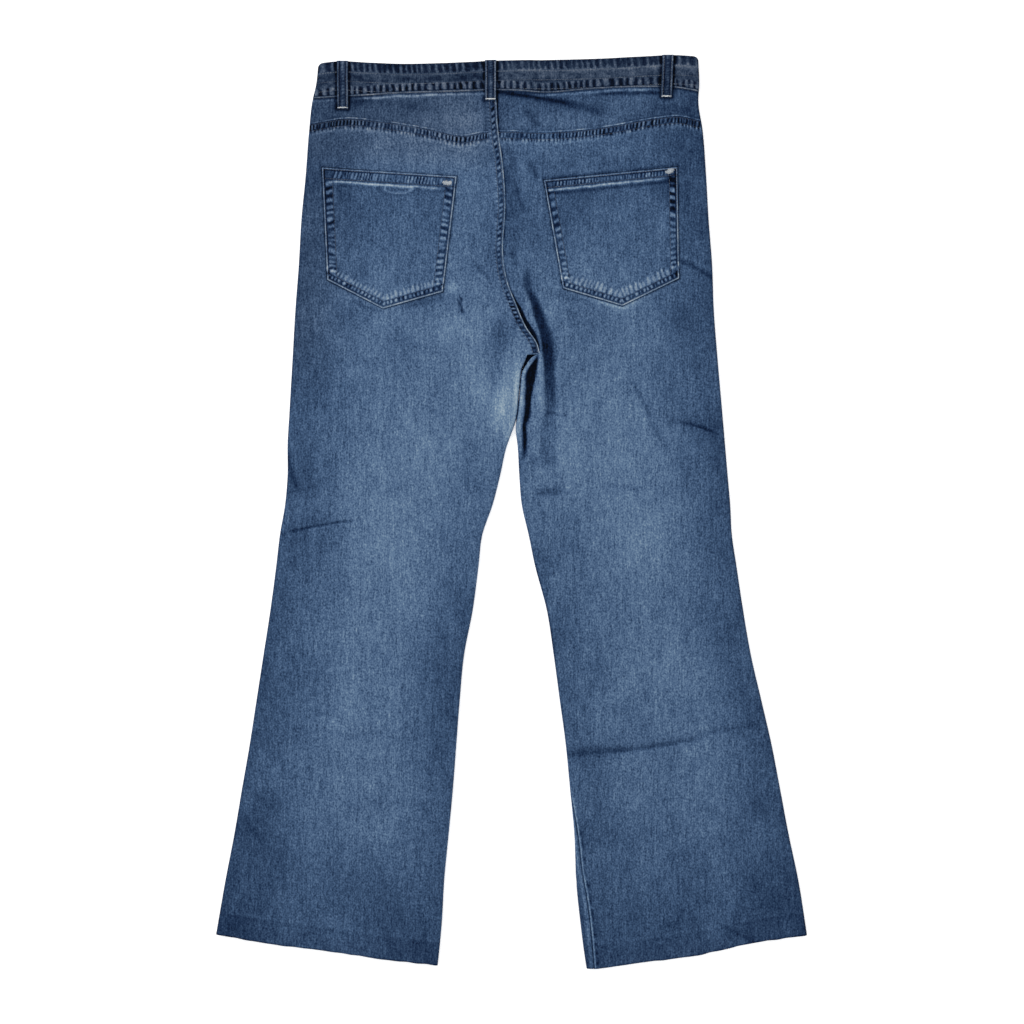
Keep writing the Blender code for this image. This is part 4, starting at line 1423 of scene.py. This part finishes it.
outer, inner, u = section(
    band_upper,
    waist_bottom,
    np.linspace(0, 1, 43),
    outer_side("left"),
    outer_side("right"),
    shares(440, 0.3, 0.3, 0.04),
    back_band_top,
    lift,
    BAND_EDGE,
    BAND_WALL,
)
back_band_grid = outer
x, y = outer[..., 0], outer[..., 1]
# The band carries the loops' painted shadows and the painted shade at its outer sides.
tone = band_form(x, waist_top(x) - y, y - waist_bottom(x))[1] + loop_painted_shadow(x, y, 0.28) + outline_shade_and_wear(x, y)
tone = np.maximum(tone, 0)
name = "waistband_back"
cloth(name, outer, inner, tone, u, DARK_DENIM, "dark_denim", [name])

front_band_grids = {}
for which in ("left", "right"):
    shift = BAND_LAP[1] if which == "left" else BAND_LAP[0]
    end = (lambda y, shift=shift: centre_front(BAND_LEVEL) + shift + 0 * y, never, never)
    outer, inner, u = section(
        lambda x: band_upper(x) - dip(x),
        lambda x: waist_bottom(x) - dip(x),
        np.linspace(0, 1, 24),
        *both_sides(which, end),
        shares(130, 0.3, 0.3, 0.06),
        lift if which == "left" else band_right_face,
        band_top,
        BAND_EDGE,
        BAND_WALL,
    )
    x, y = outer[..., 0], outer[..., 1]
    front_band_grids[which] = outer
    name = f"waistband_front_{which}"
    tone = band_form(u, waist_top(x) - dip(x) - y, y - waist_bottom(x) + dip(x))[1]
    cloth(name, outer, inner, tone, u, DARK_DENIM, "dark_denim", [name], up=False)

# %% [markdown]
# ## Belt loops
#
# A loop is a long strip folded in three and sewn with two rows, then cut to length and tacked at both
# ends. It bows off the band between the tacks, so a belt can pass. Its two edges stand up as pale cords
# and the groove between them keeps the dark blue, crossed by the ladder of the stitches' loose side.

# %% Loops
FRONT_LOOPS = {"loop_front_left": -104.0, "loop_front_right": 98.0}
LOOP_ARCH, LOOP_TAIL = 1.4, 11.0


def loop_grid(line, face):
    """A strip along a line of two points, arched off the face between its sewn ends."""
    along, across = np.meshgrid(np.linspace(0, 1, 76), shares(24, 0.45, 0.45, 0.15) * 2 - 1, indexing="ij")
    x = line["x"][0] + (line["x"][1] - line["x"][0]) * along + across * LOOP_HALF
    y = line["y"][0] + (line["y"][1] - line["y"][0]) * along
    arch = LOOP_ARCH * np.sin(math.pi * np.clip(along / 0.85, 0, 1)) ** 2
    return x, y, face(x, y) + arch, along, across


def loop_form(along, across, seed):
    """Rise and tone of the strip: two thin pale cords by its edges, a speckled ridge down its middle, and
    painted shade on its outer rims.
    """
    aside = np.abs(across)
    cord = bell(aside - 0.80, 0.11) * (0.85 + 0.25 * chance(along * 54, 5, seed + 4))
    ladder = ribs(along * 54, across * 6, 3.6, 0.3, seed, 2.2)
    ridge = bell(across - 0.05, 0.30) * (0.5 + 0.35 * ladder + 0.5 * chance(along * 54, 8, seed + 3))
    rise = 0.30 * bell(aside - 0.74, 0.2) + 0.2 * bell(across, 0.3) + 0.05 * ladder
    rise = rise - 0.8 * ease(aside, 0.86, 1.0)
    tone = 0.125 + 0.31 * cord * (1.15 - 0.3 * (across < 0)) + 0.22 * ridge
    # painted shade on the rims, where the strip turns down
    tone = tone - 0.18 * ease(aside, 0.90, 0.98) - 0.07 * bell(aside - 0.56, 0.12)
    return rise, np.maximum(tone + 0.05 * ease(along, 0.12, 0.0), 0)


def loop_rest(x, y):
    """What a back loop lies on: the band, then a step down to the yoke."""
    step = ease(waist_bottom(x) - y, 1, 9)
    return (1 - step) * band_top(x, y) + step * leg_top(x, y)


loop_ends = {}
for seed, (name, line) in enumerate(BACK_LOOPS.items(), 120):
    x, y, low, along, across = loop_grid(line, loop_rest)
    rise, tone = loop_form(along, across, 3 * seed)
    outer = np.stack([x, y, low + OVER + LOOP_WALL - 0.4 + rise], axis=-1)
    inner = np.stack([x, y, low + OVER], axis=-1)
    loop_ends[name] = outer
    cloth(name, outer, inner, tone, x, DARK_DENIM, "dark_denim", [name])

for seed, (name, place) in enumerate(FRONT_LOOPS.items(), 130):
    high, low = waist_top(place) - dip(place), waist_bottom(place) - dip(place) - LOOP_TAIL
    x, y, _, along, across = loop_grid(table("x y", (place, high), (place, low)), lift)
    rise, tone = loop_form(along, across, seed * 3)
    outer = np.stack([x, y, 0.35 - np.minimum(rise, 0.35)], axis=-1)
    inner = np.stack([x, y, 0 * x + LOOP_WALL], axis=-1)
    cloth(name, outer, inner, tone, x, DARK_DENIM, "dark_denim", [name], up=False)

# %% [markdown]
# ## Fronts, underneath
#
# The fronts lie on the floor and are finished plainly: two panels, closed at the fly, the left one lapped
# over the right. The zip is inside the closed fly, where nothing of it shows.


# %% Fronts
def front_inner(which):
    """The front seam, lapped to the right along the fly, and the inside of the leg below it."""

    def edge(y):
        lap = FLY_LAP * ease(y, FLY_END - 20, FLY_END) - 0.02
        seam = centre_front(y) + (lap if which == "left" else 0.02)
        return np.where(y > FRONT_CROTCH, seam, inside_leg[which](y))

    turn = (lambda y: -inseam_turn(y)) if which == "right" else never
    return (edge, below(FRONT_CROTCH), turn)


FRONT_DOWN = stepped(478, (345, 5), (325, 3), (190, 6), (176, 2), (168, 1), (120, 4), (-490, 8), (-530, 3))
FRONT_ACROSS = shares(64, 0.5, 0.7, 0.2)
for which in ("left", "right"):
    outer, inner, u = section(
        lambda x: waist_bottom(x) - dip(x) - SEAM,
        hem,
        FRONT_DOWN,
        *both_sides(which, front_inner(which)),
        FRONT_ACROSS if which == "left" else 1 - FRONT_ACROSS[::-1],
        lift if which == "left" else front_right_face,
        leg_top,
        LEG_EDGE,
        WALL,
    )
    x, y = outer[..., 0], outer[..., 1]
    tone = wear(x, y) + hem_tone(x, y)
    if which == "right":
        turned = u - u[:, :1]
        strip = 0.17 * bell(turned - 2.6, 1.0) - 0.06 * ease(turned, 5, 8) * ease(turned, 16, 10)
        tone = tone + strip * ease(y, -318, -340)
    above_crotch = ease(y, FRONT_CROTCH - 10, FRONT_CROTCH)
    # a painted shadow line along the fly's edge
    tone = tone - 0.12 * bell(x - centre_front(y) - FLY_LAP / 2, 4.0) * above_crotch
    # painted shade on the inside face, seen through the hole at the crotch
    hole_shade = 0.50 * np.exp(-(((x - 20) / 30) ** 4) - ((y - 165) / 40) ** 4)
    name = f"front_{which}"
    cloth(name, outer, inner, tone, u, nodes=[name], up=False, inside=INSIDE_TONE - hole_shade)

# %% [markdown]
# ## Stitches
#
# Every row of stitches is real thread here: a small bowed grain for each stitch, dipping into the cloth at
# both ends, about eight to the inch. A row is laid along points and normals read from the very grid that it
# is sewn through, so it follows each pucker. One template is turned into place for all stitches of a seam
# at once, as an array product, and they are joined as one mesh.

# %% Thread finish
thread_finish = Finish("thread", Roughness=0.7, Sheen_Weight=0.2, Specular_IOR_Level=0.3)
spot = thread_finish.node("TexCoord", output=3)
fibre = thread_finish.node("TexNoise", Vector=spot, Scale=900.0, Detail=1.0) - 0.5
worn_tone = thread_finish.node("Attribute", {"attribute_name": "tone"}, output=2) + fibre * 0.35
thread_colour = thread_finish.node("ValToRGB", {"stops": THREAD}, Fac=worn_tone)
thread_bump = thread_finish.node("Bump", Strength=0.5, Distance=0.1 * MM, Height=fibre)
thread_finish.set(thread_finish.shader, {"Base Color": thread_colour, "Normal": thread_bump})

STITCH, STITCH_GAP, THREAD_WIDE, THREAD_HIGH = 2.8, 0.3, 0.66, 0.34
THREAD_SIDES = 5


# %% Stitch meshes
def stitch_template():
    """Rings of one stitch, from -1 to 1: narrow and low at its ends, round and high in the middle."""
    place = np.array([-1.0, -0.72, 0.0, 0.72, 1.0])[:, None]
    turn = np.linspace(0, 2 * math.pi, THREAD_SIDES, endpoint=False)[None, :]
    size = np.sqrt(1 - 0.85 * place**2)
    upward = np.sin(turn) * size + 0.9 - 1.5 * place**2
    rings = np.stack([place + 0 * turn, np.cos(turn) * size, upward], axis=-1)
    index = np.arange(len(place) * THREAD_SIDES).reshape(-1, THREAD_SIDES)
    quads = np.stack([index[:-1], index[1:], np.roll(index[1:], -1, 1), np.roll(index[:-1], -1, 1)], axis=-1)
    return rings.reshape(-1, 3), quads.reshape(-1, 4), index[0], index[-1, ::-1]


def place_threads(name, starts, ends, normals, wide, high, tones):
    """One thread from each start to its end: the template scaled and turned to lie along it."""
    rings, quads, first, last = stitch_template()
    middle, half = (starts + ends) / 2, (ends - starts) / 2
    across = np.cross(normals, half)
    across /= np.linalg.norm(across, axis=1, keepdims=True)
    upward = np.cross(half, across)
    upward /= np.linalg.norm(upward, axis=1, keepdims=True)
    turned = np.stack([half, across * wide / 2, upward * high / 2], axis=1)
    points = middle[:, None, :] + np.einsum("vi,nij->nvj", rings, turned)
    shift = (np.arange(len(middle)) * len(rings))[:, None, None]
    mesh_faces = (quads[None] + shift).reshape(-1, 4).tolist()
    for cap in (first, last):
        mesh_faces += (cap[None, None] + shift).reshape(-1, len(cap)).tolist()
    piece = new_piece(name, points.reshape(-1, 3), mesh_faces, thread_finish.material)
    mark(piece.data, "tone", np.repeat(tones, len(rings)))


def lay_row(points, normals):
    """Start, end and normal of each stitch along a line of points."""
    far = np.concatenate([[0], np.cumsum(np.linalg.norm(np.diff(points, axis=0), axis=1))])
    middles = np.arange(STITCH, far[-1] - STITCH / 2, STITCH + STITCH_GAP)

    def at(distance, values):
        return np.stack([np.interp(distance, far, column) for column in values.T], axis=-1)

    starts, ends = at(middles - STITCH / 2, points), at(middles + STITCH / 2, points)
    return starts, ends, at(middles, normals)


def sew(name, rows, tone, seed, wide=THREAD_WIDE):
    """Joins the stitches of several rows; rubbed threads are paler here and there."""
    starts, ends, normals = (np.concatenate(parts) for parts in zip(*[lay_row(*row) for row in rows]))
    number = np.arange(len(starts))
    wander = 0.10 * chance(number, 2.0, seed) + 0.10 * chance(number, 17.0, seed + 1)
    print(f"{name}: {len(starts)} stitches")
    place_threads(name, starts, ends, normals, wide, THREAD_HIGH, tone + wander)


def row_at(outer, upper, distance, up=True):
    """The row of a grid that runs at a distance below its upper edge, between its own rows."""
    normals = grid_normals(outer, up)
    below_edge = upper(outer[..., 0]) - outer[..., 1]

    def picked(values):
        columns = zip(below_edge.T, np.moveaxis(values, 1, 0))
        return np.array([[np.interp(distance, far, part) for part in column.T] for far, column in columns])

    return picked(outer), picked(normals)


# %% Sewing the laps and the waistband
for which in ("left", "right"):
    rows = [row_at(lap_grids[which], yoke_seam, distance) for distance in YOKE_ROWS]
    sew(f"stitches_yoke_{which}", rows[:1], 0.24, 201, 0.5)
    sew(f"stitches_yoke_{which}_low", rows[1:], 0.22, 203, 0.5)

seat_normals = grid_normals(seat_lap_grid)
for label, distance, tone_of in (("edge", SEAT_ROWS[0], 0.22), ("inner", SEAT_ROWS[1], 0.26)):
    column = np.argmin(np.abs(centre_back(seat_lap_grid[0, :, 1]) + 0.9 - seat_lap_grid[0, :, 0] - distance))
    sew(f"stitches_seat_{label}", [(seat_lap_grid[:, column], seat_normals[:, column])], tone_of, 205, 0.6)

band_height = waist_top(0.0) - waist_bottom(0.0)
distances = BAND_ROWS[0], band_height - BAND_ROWS[1]
rows = [row_at(back_band_grid, waist_top, distance) for distance in distances]
sew("stitches_band_rows", rows, 0.32, 207, 0.5)
sew("stitches_band_edge", [row_at(back_band_grid, waist_top, band_height - BAND_ROWS[2])], 0.34, 209, 0.5)
for which, grid in front_band_grids.items():
    rows = [
        row_at(grid, lambda x: waist_top(x) - dip(x), distance, up=False)
        for distance in (BAND_ROWS[0], band_height - BAND_ROWS[1], band_height - BAND_ROWS[2])
    ]
    sew(f"stitches_front_band_{which}", rows, 0.42, 211)

# The fly: two rows down beside its edge, which turn in to it at the foot.
y = np.linspace(waist_bottom(0.0) - dip(0.0) - 4, FLY_END + 1, 240)
round_foot = np.sqrt(1 - np.clip((FLY_END + 46 - y) / 46, 0, 1) ** 2)
rows = []
for reach in (38.0, 32.0):
    x = centre_front(y) + FLY_LAP - 1.5 - (reach - 1.5) * round_foot
    rows.append((np.stack([x, y, lift(x, y)], axis=-1), np.tile([0.0, 0.0, -1.0], (len(y), 1))))
sew("stitches_fly", rows, 0.66, 213)


# %% Sewing the pockets
def on_pocket(name, corners):
    """Points every half millimetre along straight lines between corners, on the pocket, and their normals."""
    parts = [
        a + (b - a) * np.linspace(0, 1, max(2, int(np.linalg.norm(b - a) / 0.5)))[:, None]
        for a, b in zip(corners[:-1], corners[1:])
    ]
    x, y = np.concatenate(parts).T
    return np.stack([x, y, pocket_surface(name)(x, y)], axis=-1), np.tile([0.0, 0.0, 1.0], (len(x), 1))


for name, (_, border_wide, mouth, _) in POCKET_LOOK.items():
    outer_row = inset_corners(name, {**dict.fromkeys(EDGES, SIDE_ROW), "top": 1.2})
    inner = {**dict.fromkeys(EDGES, border_wide), "low_right": LOW_INNER_ROW, "low_left": LOW_INNER_ROW}
    inner_row = inset_corners(name, {**inner, "top": mouth})
    mouth_row = inset_corners(name, {**dict.fromkeys(EDGES, SIDE_ROW), "top": mouth - 3.0})
    sew(f"stitches_{name}", [on_pocket(name, outer_row[[0, 1, 2, 3, 4, 0]])], 0.38, 221, 0.55)
    rows = [on_pocket(name, inner_row[[1, 2, 3, 4, 0]]), on_pocket(name, mouth_row[:2])]
    sew(f"stitches_{name}_inner", rows, 0.30, 223, 0.5)


# %% [markdown]
# ## Bar tacks and loop stitches
#
# Where a seam takes strain it is barred with a dense zigzag: at the pocket's mouth and across the foot of
# each belt loop. A tack is some twenty threads side by side, made from the same template as the stitches.


# %% Bar tacks
TACK_PITCH = 0.5  # from thread to thread
TACK_THREAD = (0.62, 0.8)  # how wide and how high each is


def tack(name, centre, long, wide, angle, surface, tone, seed):
    """Threads across a line: long is the tack's length, wide its width, angle its turn from the X axis."""
    count = int(long / TACK_PITCH)
    along = np.linspace(-long / 2, long / 2, count)
    ux, uy = math.cos(angle), math.sin(angle)
    ends = []
    for end, reach in enumerate((-wide / 2, wide / 2)):
        jitter = 0.22 * wide * chance(np.arange(count), 1.6, seed + 2 * end)
        far = reach * (1 - 0.4 * (2 * along / long) ** 2) + jitter
        x = centre[0] + along * ux - far * uy + 0.12 * np.sign(reach)
        y = centre[1] + along * uy + far * ux
        ends.append(np.stack([x, y, surface(x, y) + 0.12], axis=-1))
    up = np.tile([0.0, 0.0, 1.0], (count, 1))
    place_threads(name, *ends, up, *TACK_THREAD, tone + 0.08 * chance(np.arange(count), 1.0, seed + 1))


for seed, (name, (middle, angle)) in enumerate(TACKS.items(), 231):
    tack(f"tack_{name}", middle, 10.0, 5.6, angle, pocket_surface(name), 0.72, seed)
for seed, (name, outer) in enumerate(loop_ends.items(), 235):
    foot = outer[-4]

    def loop_surface(x, _y, foot=foot):
        return np.interp(x, foot[:, 0], foot[:, 2])

    tack(f"tack_{name}", foot[len(foot) // 2, :2] + [0, -0.6], 11.0, 1.5, 0.0, loop_surface, 0.95, seed)
    normals = grid_normals(outer)
    middle = outer[0, len(foot) // 2, 0]
    places = -0.62 * LOOP_HALF, 0.62 * LOOP_HALF
    columns = [np.argmin(np.abs(outer[0, :, 0] - middle - place)) for place in places]
    sew(f"stitches_{name}", [(outer[:, c], normals[:, c]) for c in columns], 0.36, seed + 10, 0.5)

# %% [markdown]
# ## Button
#
# The shank button is under the front of the band, face down: a turned copper-coloured cap with a rolled
# rim and a ring of small beads, no words on it. It is a profile turned round its own axis, with the beads'
# rise added as a cosine of the angle.

# %% Button finish and mesh
copper = Finish("button_metal", Metallic=1.0)
spot = copper.node("TexCoord", output=3)
tarnish = copper.node("TexNoise", Vector=spot, Scale=420.0, Detail=4.0)
copper_stops = [(0.3, (0.16, 0.09, 0.055, 1)), (0.6, (0.50, 0.27, 0.16, 1))]
copper_colour = copper.node("ValToRGB", {"stops": copper_stops}, Fac=tarnish)
copper.set(copper.shader, {"Base Color": copper_colour, "Roughness": 0.5 - tarnish * 0.25})

BUTTON = table(
    "radius z",
    (0.05, 0.55),
    (3.0, 0.5),
    (5.2, 0.35),
    (6.3, 0.55),
    (7.2, 0.15),
    (7.9, 0.05),
    (8.4, 0.5),
    (8.3, 1.2),
    (7.6, 1.7),
    (3.4, 2.1),
    (3.2, 2.9),
    (0.05, 2.9),
)
turn = np.linspace(0, 2 * math.pi, 96, endpoint=False)[None, :]
radius, z = BUTTON["radius"][:, None], BUTTON["z"][:, None]
bead = 0.18 * np.cos(24 * turn) * bell(radius - 5.9, 0.5) * (z < 1)
x_button, y_button = button_centre()
rings = np.stack([x_button + radius * np.cos(turn), y_button + radius * np.sin(turn), z - bead], axis=-1)
count = rings.shape[1]
index = np.arange(rings[..., 0].size).reshape(-1, count)
quads = np.stack([index[:-1], np.roll(index[:-1], -1, 1), np.roll(index[1:], -1, 1), index[1:]], axis=-1)
button_faces = quads[..., ::-1].reshape(-1, 4).tolist() + [index[0].tolist(), index[-1, ::-1].tolist()]
button = new_piece("button", rings.reshape(-1, 3), button_faces, copper.material)
button.data.set_sharp_from_angle(angle=math.radians(60))
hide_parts("waistband_button")
print("button:", len(button_faces), "faces")

# %% Measure and finish
MOST_FACES = 95000  # about 190,000 triangles
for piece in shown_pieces():
    if len(piece.data.polygons) > MOST_FACES:
        print(f"{piece.name} is large: {len(piece.data.polygons)} faces")
